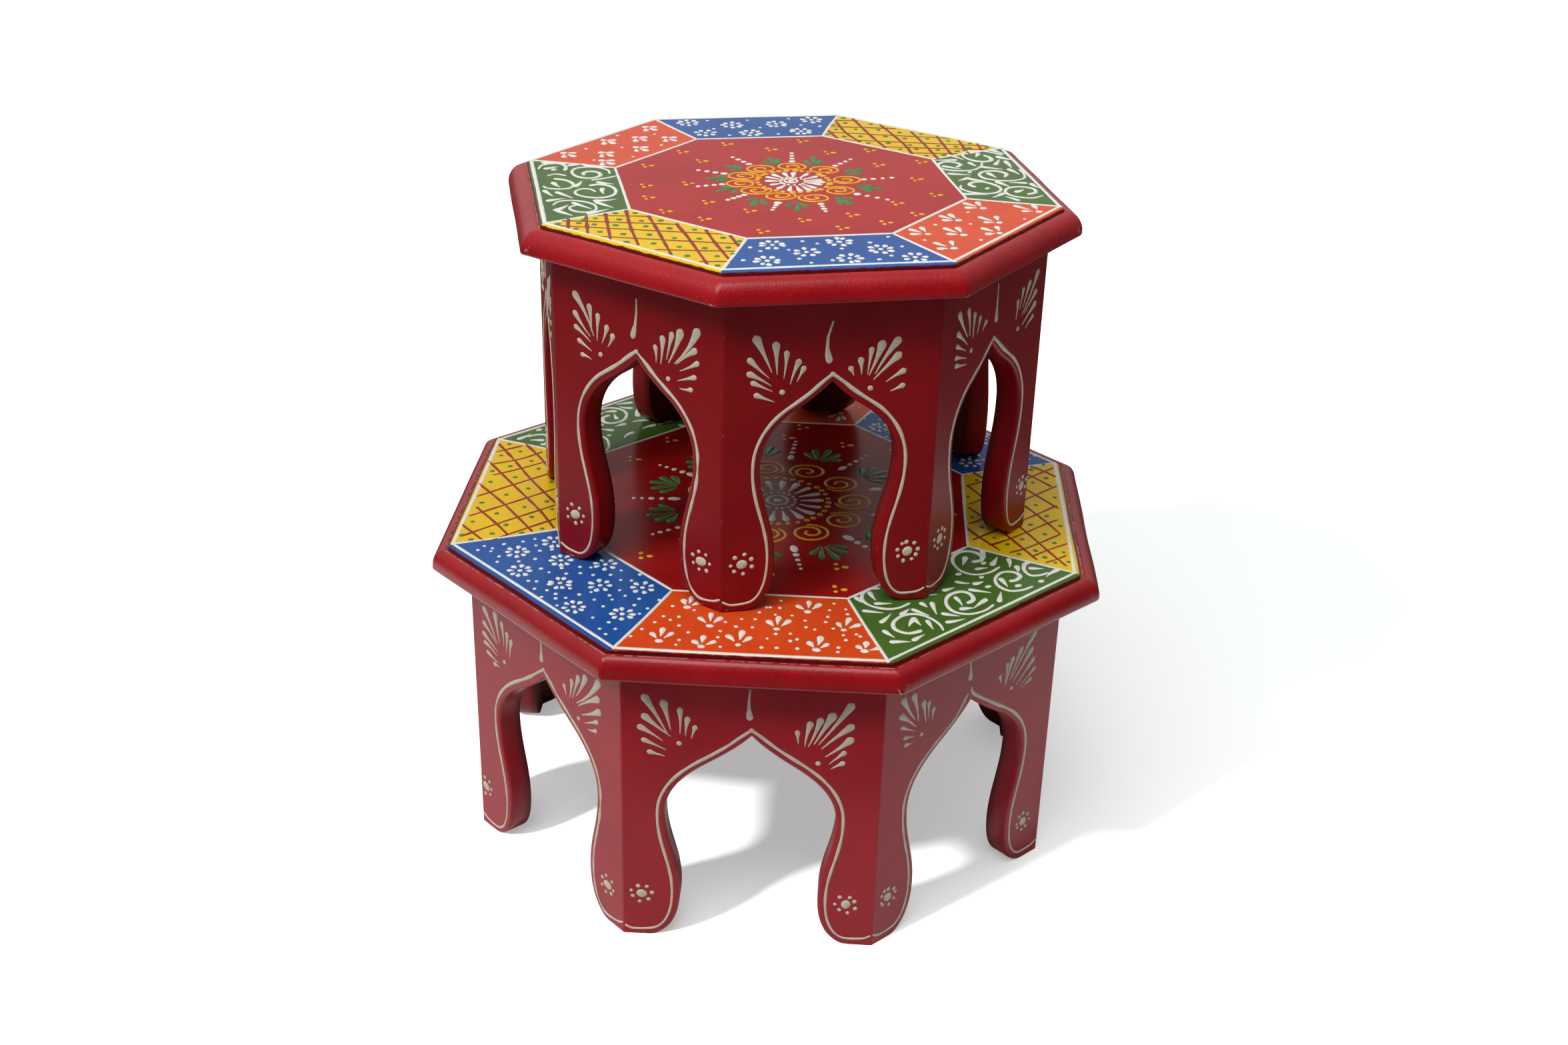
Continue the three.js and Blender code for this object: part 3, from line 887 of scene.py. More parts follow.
# the cream line that follows the sawn arch at a wavering gap, from each foot's corner up to the apex
def addArchLine(stool, number):
    outline = archOutline(stool)
    gap = archLine["gap"] + waves(np.linspace(0, 6, len(outline)), number, archLine["stray"], 1, 5)
    path = outline + intoWood(outline) * gap[:, None]
    middle = len(outline) // 2
    path[middle, 1] -= archLine["apexDrop"]
    reach = halfWidth(stool) - archLine["edgeGap"]
    rng = np.random.default_rng(number + 40)
    missed = stool is lowerStool and number == 2  # the two strokes miss each other at this apex
    parts = []
    for sign, half in ((-1, path[:middle + 1]), (1, path[:middle - 1:-1])):
        rise = archLine["footRise"] + rng.normal(0, 0.7)
        across, lean = archLine["footAcross"], archLine["footLean"]
        foot = np.array([(sign * reach, rise + lean), (sign * (reach - across), rise - lean)])
        rows = np.concatenate([foot, half[1:-1:5], half[-1:]])
        width = archLine["half"] * rng.uniform(0.88, 1.12)
        if missed:
            rows = np.concatenate([rows[:-2], archLine["missed"][sign]])
        start, end = (width * share for share in archLine["widths"])
        parts.append(brushLine(rows, start, end, number * 3 + sign, archLine["high"],
                               archLine["spacing"], archLine["uneven"]))
    if not missed:
        parts.append(dots([path[middle] - (0, 0.2)], archLine["half"] * 1.6, number, archLine["high"]))
    addOnPanel("arch_line", stool, number, parts)


# fans beside the apex, the drip over it and a ring of dots on each half leg.
# fan: its dot, then bulb and tip of each drop; drip: bulb, tip and how far it bows to the left
fans = {
    "upper": {
        1: {
            "left": ((-21, 101.5), (-32, 125, -25.5, 110.5), (-24, 122, -23.3, 109.5), (-19.5, 118.5,
                -20.5, 107.5), (-14.5, 114.5, -17.7, 105), (-12.3, 111.5, -15, 105.8), (-34.5, 116,
                -26.5, 108), (-34.5, 110, -25.5, 104.5), (-33, 106, -25, 102), (-31.5, 100.5, -24,
                97.3)),
            "right": ((16, 101.5), (7.5, 110.5, 8.8, 107.5), (11.5, 114, 12, 107.8), (15.8, 118.5, 14.5,
                107.8), (20, 120.5, 15.2, 107.3), (26.5, 122, 17.7, 107.7), (27, 115.5, 17.2, 105.3),
                (29.5, 108.5, 22.5, 104), (29.5, 102, 24.5, 99.8)),
            "drip": (-1.8, 115, -0.7, 131.6, 0.9), "feet": ((-36.5, 22.5), (36, 24)),
        },
        8: {
            "left": ((-19.3, 103.1), (-32.5, 126.9, -22.8, 110.7), (-25, 123.1, -24.1, 112.5), (-20.4,
                120.1, -21, 109), (-15.7, 116, -18.4, 108.5), (-12.6, 112.9, -15.2, 107.6), (-32.8,
                118.5, -24.7, 109.9), (-32.5, 112.5, -24.5, 107.4), (-30.8, 106.6, -24.1, 103.5),
                (-29.2, 100.6, -24.3, 99.6)),
            "right": ((16.9, 101.3), (10.2, 113.6, 10.6, 107), (14, 118.2, 13, 106.9), (18.8, 121.2,
                16.1, 109.7), (23.1, 122.9, 17.2, 108.6), (31.6, 125.3, 20.3, 109), (30.5, 117, 21.3,
                109), (31.8, 111.8, 23, 106.4), (30.4, 105.3, 21.9, 101.8), (28.6, 99.4, 23, 98.6)),
            "drip": (-1.6, 116.2, 0.4, 132.7, 0.2), "feet": ((-35.8, 22), (34.5, 21.1)),
        },
        2: {
            "left": ((-19.9, 108.8), (-31.8, 128.2, -23.9, 116.1), (-24.3, 127.8, -22.1, 116.1), (-18.8,
                124.5, -19.2, 114.2), (-13.9, 121.6, -15.5, 114.9), (-8.6, 118, -11.1, 114.9), (-32.1,
                119.8, -23.5, 112.5), (-32.3, 114.3, -24.1, 109.9), (-32.5, 109.2, -23.4, 106.3),
                (-31.9, 105.5, -23, 103.5)),
            "right": ((21.8, 105.9), (19.9, 119, 19.2, 110.9), (24.1, 123.4, 22, 114.7), (29.7, 124.9,
                25, 114.7), (36.5, 127.8, 24.7, 111.4), (36.1, 119, 27, 111.7), (36.1, 113.2, 25.5,
                106.6), (35, 107.7, 28.8, 103.9)),
            "drip": (0.7, 116.9, 0.5, 132.9, 0.4), "feet": ((-36, 25.6), (39.3, 22.3)),
        },
    },
    "lower": {
        1: {
            "left": ((-31.3, 104.6), (-46, 127, -36.5, 109.5), (-38, 124.5, -35, 111.5), (-31, 121.5,
                -31, 109.5), (-27.7, 117, -28.5, 108.7), (-24.5, 113, -26, 107.5), (-46, 117.5, -35,
                108), (-48, 112, -38.5, 105.5), (-46.5, 105.5, -37, 101), (-44, 99.5, -37.5, 97.7)),
            "right": ((29, 97.7), (42, 127.5, 29, 107.5), (34.3, 122, 27, 107.5), (29.3, 119.5, 24.5,
                106), (25, 117.5, 23, 106.3), (19.7, 113, 20.2, 107.2), (42.3, 117, 30.3, 105.3), (42.3,
                110.3, 32, 101.3), (40, 103.7, 33.7, 97.7), (39.5, 98.3, 34.7, 95.3)),
            "drip": (-1, 119.7, -1, 133.5, 0), "feet": ((-48.2, 22.8), (44, 22.5)),
        },
        8: {
            "left": ((-31.3, 103.1), (-45.8, 124.8, -36.7, 111), (-37.3, 125.6, -34.6, 112), (-32.1,
                123.1, -31.1, 111.7), (-28.3, 119.3, -29.6, 109.3), (-25, 116.7, -26.7, 107.5), (-46.5,
                117.1, -36.7, 110.2), (-47.1, 111.3, -36.7, 106.2), (-46.4, 106.8, -37.1, 103.8),
                (-44.6, 102.4, -36.1, 100.2), (-39.2, 98.3, -35.8, 98.5)),
            "right": ((25.8, 100.6), (15.7, 112.7, 16.9, 108.5), (21.4, 117.7, 19.6, 108.5), (26.3,
                121.8, 21.7, 109.3), (31.4, 124.2, 24.6, 111.8), (40.8, 126, 24.6, 108.1), (40, 117.4,
                25.7, 107.1), (40.8, 111.2, 28.3, 103.8), (39.2, 105.2, 30.3, 100.4), (38.3, 100.2,
                32.5, 98.3)),
            "drip": (-1.4, 118.6, -2.1, 133, 0.1), "feet": ((-52.3, 22.5), (44.8, 20)),
        },
        2: {
            "left": ((-32.5, 104.3), (-45.2, 126.8, -37.3, 113.9), (-38.8, 126.4, -35, 112.2), (-32.3,
                120.6, -30, 109.6), (-29, 119.3, -28.8, 111), (-25.7, 114.5, -26.1, 109.3), (-45.8,
                118.9, -36.5, 110), (-45, 112.9, -36.7, 107.7), (-42.9, 106.7, -36.7, 105), (-41.9,
                102.7, -38.1, 102.1)),
            "right": ((26.3, 104.6), (17.8, 113.9, 18.8, 110.3), (22.1, 118.9, 21.3, 109.3), (25.4,
                120.2, 21.8, 107.7), (30.8, 123.5, 24.6, 109.3), (39.3, 128.5, 26.3, 110.2), (37.9,
                120.3, 26.7, 107.7), (39.8, 114.5, 29.6, 105), (41.3, 109.3, 32.1, 103.3), (39.2, 104.3,
                32.9, 101.4)),
            "drip": (-2.7, 121.5, -3.8, 133, 0), "feet": ((-47.7, 23.1), (44.4, 21.8)),
        },
    },
}
fanSizes = {
    "drop": 1.75, "dot": 1.3, "drip": 1.65, "high": 0.36,
    "fullLength": 13, "leastShare": 0.78, "mostShare": 1.15,  # shorter drops have smaller bulbs
    "footMiddle": 2.3, "footDot": 1.0, "footRing": 4.6,
    "repeats": {3: 2, 6: 2, 4: 8, 7: 8, 5: 1}, "stray": 0.7,  # panels painted alike, by a straying hand
}


# a panel's fans, drip and foot rings: dots on a circle round each foot's middle dot
def addPanelMotifs(stool, number):
    s = fanSizes
    source = fans[stool["name"]][s["repeats"].get(number, number)]
    rng = np.random.default_rng(number * 7 + len(stool["name"]) + (stool is upperStool))
    stray = s["stray"] if number in s["repeats"] else 0.0
    parts = []
    for key in ("left", "right"):
        dot, rows = source[key][0], np.array(source[key][1:])
        rows = rows + rng.normal(0, 1, rows.shape) * stray
        length = np.linalg.norm(rows[:, :2] - rows[:, 2:], axis=1)
        radius = s["drop"] * np.clip(length / s["fullLength"], s["leastShare"], s["mostShare"])
        parts.append(drops(rows[:, :2], rows[:, 2:], radius, number, high=s["high"], taper="slim"))
        parts.append(dots([np.array(dot) + rng.normal(0, 1, 2) * stray], s["dot"], number))
    x, z, tipX, tipZ, bow = source["drip"]
    bow = bow + rng.normal(0, 0.1)
    parts.append(drops([(x, z)], [(tipX, tipZ)], s["drip"], number, tail=0.3, high=s["high"],
                       taper="drip", bow=bow))
    for foot in source["feet"]:
        foot = np.array(foot) + rng.normal(0, 1, 2) * stray
        angle = np.linspace(0, 2 * np.pi, int(rng.integers(7, 10)), endpoint=False) + rng.uniform(0, 1)
        angle = angle + rng.normal(0, 0.09, len(angle))
        reach = s["footRing"] * rng.uniform(0.92, 1.08, (len(angle), 1))
        parts.append(dots(foot + rays(angle) * reach, s["footDot"], number + 3))
        parts.append(dots([foot], s["footMiddle"], number + 5, high=0.4, stretch=1.12,
                          turn=rng.uniform(0, 3)))
    addOnPanel("panel_motifs", stool, number, parts)


flowerSizes = {"petal": 1.33, "tail": 0.62, "reach": 5.8, "inner": 2.9, "middle": 1.25, "speck": 0.98}


# white flowers and specks on the blue fields: petals are short drops pointing at the middle
def flowers(centres, specks, seed):
    s = flowerSizes
    rng = np.random.default_rng(seed)
    bulbs, tips = [], []
    for centre in centres:
        count = int(rng.integers(7, 9))
        angle = np.linspace(0, 2 * np.pi, count, endpoint=False) + rng.uniform(0, 1)
        ray = rays(angle + rng.normal(0, 0.07, count))
        bulbs.append(centre + ray * (s["reach"] - s["petal"]) * rng.uniform(0.93, 1.07, (count, 1)))
        tips.append(centre + ray * s["inner"])
    return [drops(np.concatenate(bulbs), np.concatenate(tips), s["petal"], seed, s["tail"]),
            dots(centres, s["middle"], seed), dots(specks, s["speck"], seed + 1, high=0.25)]


sprigSizes = {"bulb": 1.5, "tail": 0.35, "dot": 1.4, "speck": 0.88, "tipShare": 0.4}


# sprigs on the orange fields: rows of a dot and three bulbs, whose drops point at the dot
def sprigs(rows, specks, seed):
    s = sprigSizes
    rows = np.array(rows, float).reshape(-1, 4, 2)
    dot = rows[:, :1]
    bulbs = rows[:, 1:]
    tips = dot + (bulbs - dot) * s["tipShare"]
    return [drops(bulbs.reshape(-1, 2), tips.reshape(-1, 2), s["bulb"], seed, s["tail"]),
            dots(rows[:, 0], s["dot"], seed, stretch=1.2), dots(specks, s["speck"], seed + 1, high=0.25)]


scrollSizes = {"thicker": 1.12, "high": 0.3, "spacing": 1.5, "uneven": 0.1, "leaf": 1.42, "tail": 0.35,
               "blob": 1.2}


# scrolls on the green fields: brush lines that go from one half width to another, drops for leaves
# (bulb, tip) and longish blobs
def scrolls(lines, leaves, blobs, seed):
    s = scrollSizes
    leaves = np.array(leaves, float)
    parts = [brushLine(rows, first * s["thicker"], last * s["thicker"], seed + i, s["high"],
                       s["spacing"], s["uneven"]) for i, (first, last, rows) in enumerate(lines)]
    return parts + [drops(leaves[:, :2], leaves[:, 2:], s["leaf"], seed, s["tail"]),
                    dots(blobs, s["blob"], seed, stretch=1.4, turn=0.6)]


# half a turn about the stool's axis, (x, y) to (-x, -y), with a hand's stray
def acrossFrom(rows, seed, stray=0.5):
    rng = np.random.default_rng(seed)
    rows = -np.array(rows, float)
    return rows + rng.normal(0, stray, rows.shape)


upperBlue = {
    "front": ((-21.8, -83.8), (-9.6, -94.1), (6.3, -82.9), (-27.2, -102.9), (6.3, -103.4), (21.3,
        -93.8), (33, -105)),
    "frontSpecks": ((-31.4, -86), (-28, -91), (-36.7, -101.2), (-16.3, -90.7), (-8.7, -80.6), (-3.2,
        -84.2), (-14, -101.8), (-10.1, -107.1), (-1, -105.1), (5.6, -91.4), (18.7, -85.1), (27.9,
        -78.7), (30.8, -91.4), (23.8, -102.1), (17.9, -106.1)),
    "back": ((-31, 104), (-10, 98), (12, 98), (31, 104), (-25, 85), (-3, 83), (22, 84)),
    "backSpecks": ((-20, 92), (-1, 106), (3, 92), (24, 95), (33, 92), (-14, 80), (10, 80), (20, 107),
        (-21, 107)),
}
upperOrange = {
    "sprigs": (((78.2, -45), (72.3, -37.7), (71.7, -43.6), (78, -37.1)), ((101.2, -52.4), (93.4, -43.6),
        (95.1, -50.9), (101.5, -44.1)), ((63, -60.2), (57.1, -54.1), (57.3, -59.7), (61.5, -52.7)),
        ((79.7, -65.2), (73.6, -57.6), (74.3, -64.2), (80.5, -57.6)), ((45.4, -77), (39.7, -70.6),
        (39.1, -76.4), (44.8, -68.8)), ((60.1, -79.6), (54.6, -70.8), (54.6, -77.9), (59.9, -70.8)),
        ((75.9, -78.8), (70.8, -72.3), (70.8, -79.4), (76.9, -71.1)), ((51.6, -95.9), (45.8, -88.7),
        (45.8, -95.8), (52.6, -87.9))),
    "specks": ((70, -49.9), (51.5, -65.2), (66.8, -65.6), (42, -84.5), (65.5, -86.7), (91.9, -61.5),
        (90.2, -37.7)),
    "backDots": ((-53, 98.5), (-75.5, 77), (-60, 80.5), (-45.8, 79), (-61.5, 63.5), (-96, 57), (-78.5,
        56), (-79.5, 43)),
    "backSpecks": ((-68, 84.5), (-50, 85), (-85, 63), (-68, 63.5), (-49, 66), (-64.5, 48), (-83, 44)),
    "backBulbs": ((0, 0), (-0.3, -6.2), (4.6, -0.4), (4.2, -5.6)),
}
upperYellow = {
    "steep": (((-101.8, -42.1), (-102.7, -54.4)), ((-93.9, -38.3), (-95.2, -61.7)), ((-85.5, -36.8),
        (-86.7, -70.8)), ((-76.3, -33), (-76.8, -55.3), (-76.1, -78.5)), ((-67.6, -41.5), (-66.2,
        -58.8), (-64.3, -92.6)), ((-57.2, -53.2), (-54.7, -71.7), (-51.6, -104.9)), ((-46.1, -62.6),
        (-44.7, -78.8), (-42.2, -99.3)), ((-37.1, -70.6), (-35.7, -84.6))),
    "shallow": (((-88.8, -38.4), (-67.9, -41.3)), ((-104.9, -43.3), (-56.8, -53.5)), ((-107.2, -50),
        (-40.1, -68.2)), ((-90.8, -65.9), (-34.5, -81.4)), ((-70, -84.6), (-37.1, -90.5)), ((-54.4,
        -101.1), (-40.9, -102.2))),
    "specks": ((-106.5, -47.7), (-97.7, -47.5), (-95, -43.4), (-90.3, -41.9), (-81.3, -35.9), (-72.8,
        -36.5), (-80.5, -44.6), (-71.4, -47.2), (-63.3, -47.7), (-91.5, -50.1), (-82.8, -52.1), (-70.4,
        -54.7), (-99.5, -55), (-90, -60), (-60.9, -58.4), (-50.8, -61.2), (-80.8, -64), (-70.2, -65.7),
        (-60.5, -71.1), (-50.4, -72.9), (-40.5, -72.9), (-80.5, -74), (-69.8, -77.1), (-60, -82.3),
        (-49.9, -84.9), (-40.3, -85.3), (-34.5, -77.9), (-58.2, -93.7), (-46.4, -95.3), (-39.6, -93.4),
        (-47.8, -106.4)),
}
upperGreenRight = {
    "lines": ((0.55, 0.95, ((110, 34.3), (103.3, 41), (98.7, 41.7), (93.3, 40.7), (90.7, 36), (91,
        30.7), (94, 26), (98, 24.3), (102, 26), (102.7, 30.7), (100.7, 34.7))), (0.55, 0.95, ((96.7,
        23.3), (94.7, 17.3), (90, 12), (84.7, 10.7), (78.7, 12), (75, 15.3), (75, 21.3), (78.7, 25.3),
        (83.3, 24.7), (85.7, 20.7), (82.7, 16.7))), (0.55, 0.95, ((111, 10.7), (111, 2.7), (108.7, -4),
        (102, -6.7), (95.3, -5.3), (90.7, -1.3), (90, 4), (92.7, 8), (96.7, 9.3), (100.7, 8), (103, 4),
        (100.7, -0.7))), (0.55, 0.95, ((77.3, -11.3), (76, -16), (78.7, -21.3), (84.7, -24.7), (90.7,
        -23.3), (94, -18), (92.7, -12), (88.7, -7.3), (84, -7.3), (81.3, -10.7), (83.3, -14.7))), (0.55,
        0.95, ((110, -30), (104, -33), (97, -30), (94.5, -24), (97, -18), (103, -16), (108.5, -19.5),
        (108, -25), (103.5, -27.5)))),
    "leaves": ((98.7, 37.3, 96, 32), (77.3, 18.7, 84, 13.7), (95, 5.3, 96.7, -1.3), (84.7, 28.3, 75.3,
        29), (84.3, 36, 89, 28), (90.7, 22.7, 92.3, 17.3), (95.3, 15.7, 103.3, 11.3), (106.3, 43.3,
        111.3, 36), (107, 31.3, 112.3, 26), (102.3, 19.7, 106.3, 27.3), (108.3, 23.3, 108, 13.3),
        (106.3, 10.7, 108.7, 2.7), (77, 6.7, 86, 4), (83.3, -0.7, 78, -4), (84.7, -2.7, 90.7, -5.3),
        (95.3, -8.3, 98.7, -16), (107.3, -10.7, 100.3, -9.3), (110, -12.7, 111.7, -18.7), (75.3, -24,
        85.3, -26), (92.7, -25.3, 86.7, -30.3), (96.7, -35.3, 92.7, -29.3), (100, -23, 104, -20)),
    "blobs": ((86.7, 8.3), (88, -17)),
}
upperGreenLeft = {
    "lines": ((0.55, 0.95, ((-109.4, 32), (-107.4, 38), (-102.7, 40), (-98.7, 39.3), (-96.7, 34.7),
        (-97.7, 28.7))), (0.55, 0.95, ((-78, 21.7), (-78, 26.7), (-81.4, 31.3), (-86.7, 33.3), (-92.7,
        31.3), (-94.7, 25.3), (-92.7, 18.7), (-87.4, 15.7), (-82.7, 18.7), (-82.7, 24), (-86.7, 26.3),
        (-89.7, 24), (-89.4, 20.7))), (0.95, 0.55, ((-103.4, 16.7), (-98, 13.3), (-95.4, 7.3), (-97.4,
        2), (-102, 0.7), (-107.4, 2.7), (-109, 6))), (0.95, 0.55, ((-88.7, 4.7), (-84, 6), (-79.4, 2.7),
        (-77.7, -3.3), (-79.4, -10), (-84, -13.3), (-90, -12.7), (-94.7, -8.7), (-95.7, -4), (-92.7, 0),
        (-88.7, -0.7), (-86.7, -4.7))), (0.55, 0.6, ((-106.7, -22), (-104, -17.3), (-98.7, -16), (-92.7,
        -18.7), (-89, -23.3), (-88.7, -29.3), (-91.4, -32.7), (-96, -32.7), (-99.4, -29.3), (-99.7,
        -25.3), (-96.7, -23.3))), (0.6, 0.6, ((-106, 21.3), (-102, 23.6), (-97.7, 20.7))), (0.7, 0.5,
        ((-87, 12.7), (-80, 15.3), (-75.4, 18)))),
    "leaves": ((-105.7, 32.7, -100, 35.3), (-104, 10, -101.7, 4), (-94.7, 4.7, -91.4, 12), (-83.4, -0.7,
        -83.4, -8), (-97.4, -20, -90.7, -28.7), (-105.7, -28.7, -100, -22), (-104.7, -30.7, -99.4,
        -37.3), (-92, -34.7, -83.4, -30), (-87.4, -20, -81.4, -28), (-87.7, -17.3, -78.7, -16), (-108.7,
        -1.3, -105.7, -9.3), (-103.4, -4, -97.4, -12.7), (-108, -15.3, -100.7, -12.7), (-84, 9.3, -77.7,
        6), (-94.7, 36.7, -87.4, 38.7), (-87.4, 36, -76.7, 31.3), (-106, 42, -96, 39.3)),
    "blobs": ((-102.4, 30.7),),
}
lowerOrange = {
    "sprigs": (((-30.7, -107.8), (-32.6, -102.2), (-29.2, -99.2), (-26, -103)), ((-19.6, -122.8),
        (-24.2, -116.8), (-19.8, -112.8), (-15.8, -116.2)), ((21.6, -106.8), (17.4, -102.4), (21.8,
        -98.4), (26.2, -100.4)), ((9, -122.8), (5.4, -117), (9.4, -113.2), (13.6, -115.8)), ((37.5,
        -121), (35.2, -116), (39.6, -111.6), (43.4, -116.4)), ((-39.8, -137.3), (-43.2, -131.8), (-39.2,
        -127.6), (-35.2, -130.8)), ((-21.8, -140.2), (-24.8, -136.6), (-21.4, -132.4), (-17, -136)),
        ((-6.5, -137.4), (-11, -130.8), (-5.4, -126.8), (-2.2, -131.4)), ((26.4, -138.4), (23.4,
        -133.2), (27.8, -128.6), (30.6, -133.8)), ((46.6, -137.6), (44, -134.4), (47.2, -131.2), (52,
        -134.8))),
    "specks": ((-37, -107.4), (-27.4, -110), (-40, -116.6), (-33.4, -116.4), (-36.8, -119.4), (-43.2,
        -122), (-32.6, -123.8), (-48, -128.2), (-28.2, -129.2), (-52, -134.6), (-31.4, -135.8), (-32.4,
        -139.8), (-14.8, -126.8), (-15.4, -132), (-13.8, -139.8), (-13.2, -119), (-6.4, -115.8), (-0.6,
        -115.4), (-8.4, -122.4), (-1.4, -122.4), (0.8, -109.4), (3.6, -104.6), (5.2, -104.4), (9.6,
        -98.2), (9.4, -104.6), (7.8, -110.7), (15, -110.7), (8.8, -127), (15, -126.2), (5.4, -131.2),
        (3.4, -138.6), (9.8, -138.4), (15.2, -132.2), (18, -130.6), (18.4, -138.2), (20.8, -114.6),
        (21.4, -120.2), (25.2, -121.8), (29.6, -115), (30.4, -110.4), (31, -104.6), (32.8, -98.6), (38,
        -103.2), (38.8, -107.4), (33, -120.2), (37.4, -125.4), (43, -124.2), (44.6, -125.8), (47.6,
        -119.8), (38.6, -129.4), (35.6, -135.8), (35.4, -139.4)),
}
lowerBlue = {
    "flowers": ((-112.5, -64.5), (-91.4, -70.6), (-71, -72.4), (-108.1, -81.9), (-88.6, -91.6), (-70.7,
        -92), (-51.9, -92.2), (-79.5, -112.1), (-57.9, -116.3), (-97.3, -53.1)),
    "specks": ((-128.3, -60.3), (-130.5, -64.5), (-124.2, -62.1), (-124.4, -65), (-119.7, -57.5),
        (-119.8, -69.6), (-119.7, -74.8), (-110.1, -73.4), (-111.5, -54.2), (-106.5, -51.1), (-105,
        -57.4), (-102.4, -62.3), (-97.1, -60.5), (-103.2, -70.4), (-99.1, -79.2), (-95, -82.3), (-90,
        -77.8), (-87.2, -82.8), (-82, -75.9), (-81, -81.7), (-77.1, -75.9), (-75.1, -82.8), (-67.4,
        -81.9), (-63.2, -77.5), (-54.4, -80.4), (-62.3, -86.3), (-57.5, -86.3), (-102.8, -91), (-99.1,
        -91.1), (-98.9, -97.8), (-93.3, -98.7), (-89, -101.5), (-94.7, -104.8), (-88.4, -105.5), (-84.1,
        -104.6), (-83.5, -96), (-78.7, -101.1), (-73.8, -98.4), (-71.5, -105), (-65.4, -100.6), (-61.6,
        -95.6), (-63.8, -104.2), (-58.6, -100.3), (-66.9, -110.5), (-53.6, -108.1), (-52.2, -102.4),
        (-43.4, -102.6), (-47.6, -110.5), (-50.5, -115.4), (-86.8, -111.6), (-70, -120.6), (-62.7,
        -123.9), (-65.8, -129.7), (-59.2, -129.2), (-62.7, -133.9)),
}
lowerGreen = {
    "lines": ((0.6, 1.1, ((107.1, -57.5), (102, -63.4), (95.4, -66), (89.5, -63.4), (86.2, -56.8),
        (86.2, -49.5), (90.2, -44.3), (95.4, -44), (99, -47.3), (99, -51.7), (94.6, -53.9))), (1.1, 0.6,
        ((121, -52.4), (118.8, -53.1), (117.9, -59), (120.3, -64.1), (124.7, -63.8), (129.1, -60.8))),
        (0.6, 1.1, ((121, -74.4), (115.9, -78.4), (110, -79.5), (105.3, -75.1), (104.5, -68.5), (107.8,
        -62.7), (112.9, -61.9), (115.9, -65.2), (113.7, -69.3), (110.7, -70.7))), (0.6, 1.1, ((102.7,
        -92.7), (98.3, -98.6), (91.7, -102.2), (85.1, -100.8), (81.8, -94.2), (82.9, -86.9), (88,
        -82.5), (92.4, -83.9), (93.9, -89), (91, -92.7))), (0.6, 1.0, ((66, -94.9), (60.9, -99.7),
        (55.8, -101.1), (49.2, -99.3), (45.1, -94.2), (45.5, -87.6), (49.2, -83.2), (52.8, -83.2))),
        (0.6, 1.1, ((80, -117.6), (78.5, -112.5), (74.1, -107), (68.2, -104.4), (62.4, -106.6), (58.7,
        -112.5), (59.4, -118.4), (64.6, -121.3), (69.7, -119.1), (70.4, -118)))),
    "leaves": ((91.7, -50.2, 90.2, -57.5), (121.4, -57.5, 126.9, -57.2), (107.1, -69.3, 109.6, -75.8),
        (86.2, -88.3, 88.8, -94.9), (99, -89, 93.9, -96.4), (88.8, -97.8, 94, -96.6), (48.4, -87.6, 51,
        -93.8), (51.4, -96.7, 58, -96), (67.5, -108.8, 65.3, -115.4), (67.5, -108.8, 70.4, -114), (73.4,
        -110.3, 75.6, -116.9), (99.8, -42.9, 100.9, -49.5), (103.8, -55.3, 106.4, -48), (111.5, -50,
        111.5, -57.5), (114.8, -56.8, 115.1, -61.6), (133.1, -57.9, 127.6, -64.9), (96.8, -60.5, 101.6,
        -59), (87.3, -73.7, 92.8, -74.4), (95.4, -74.4, 99, -72.2), (93.2, -80.3, 102, -82.1), (105.3,
        -89, 106.4, -81), (81.4, -81.7, 85.8, -78.8), (42.6, -92.7, 44.8, -96.4), (46.2, -103.7, 54.3,
        -104.8), (53.6, -112.5, 57.6, -105.2), (55, -120.6, 59.1, -125.3), (58.3, -129, 66, -128.3),
        (67.5, -126.4, 71.9, -121.7), (62.4, -104.8, 65.7, -100), (67.5, -100.8, 74.1, -105.2), (71.2,
        -94.9, 73.4, -97.8), (75.6, -94.2, 77.4, -103.7), (80.7, -103, 87.3, -104.4), (82.2, -110, 89.5,
        -106.6), (58, -88, 64, -84), (66, -82, 72, -77), (76, -72, 80, -64), (70, -88, 78, -86)),
    "blobs": ((125, -69.3), (99.8, -54.6), (88, -66.3), (98.3, -68.2), (100.9, -76.6), (114.4, -74.4)),
}
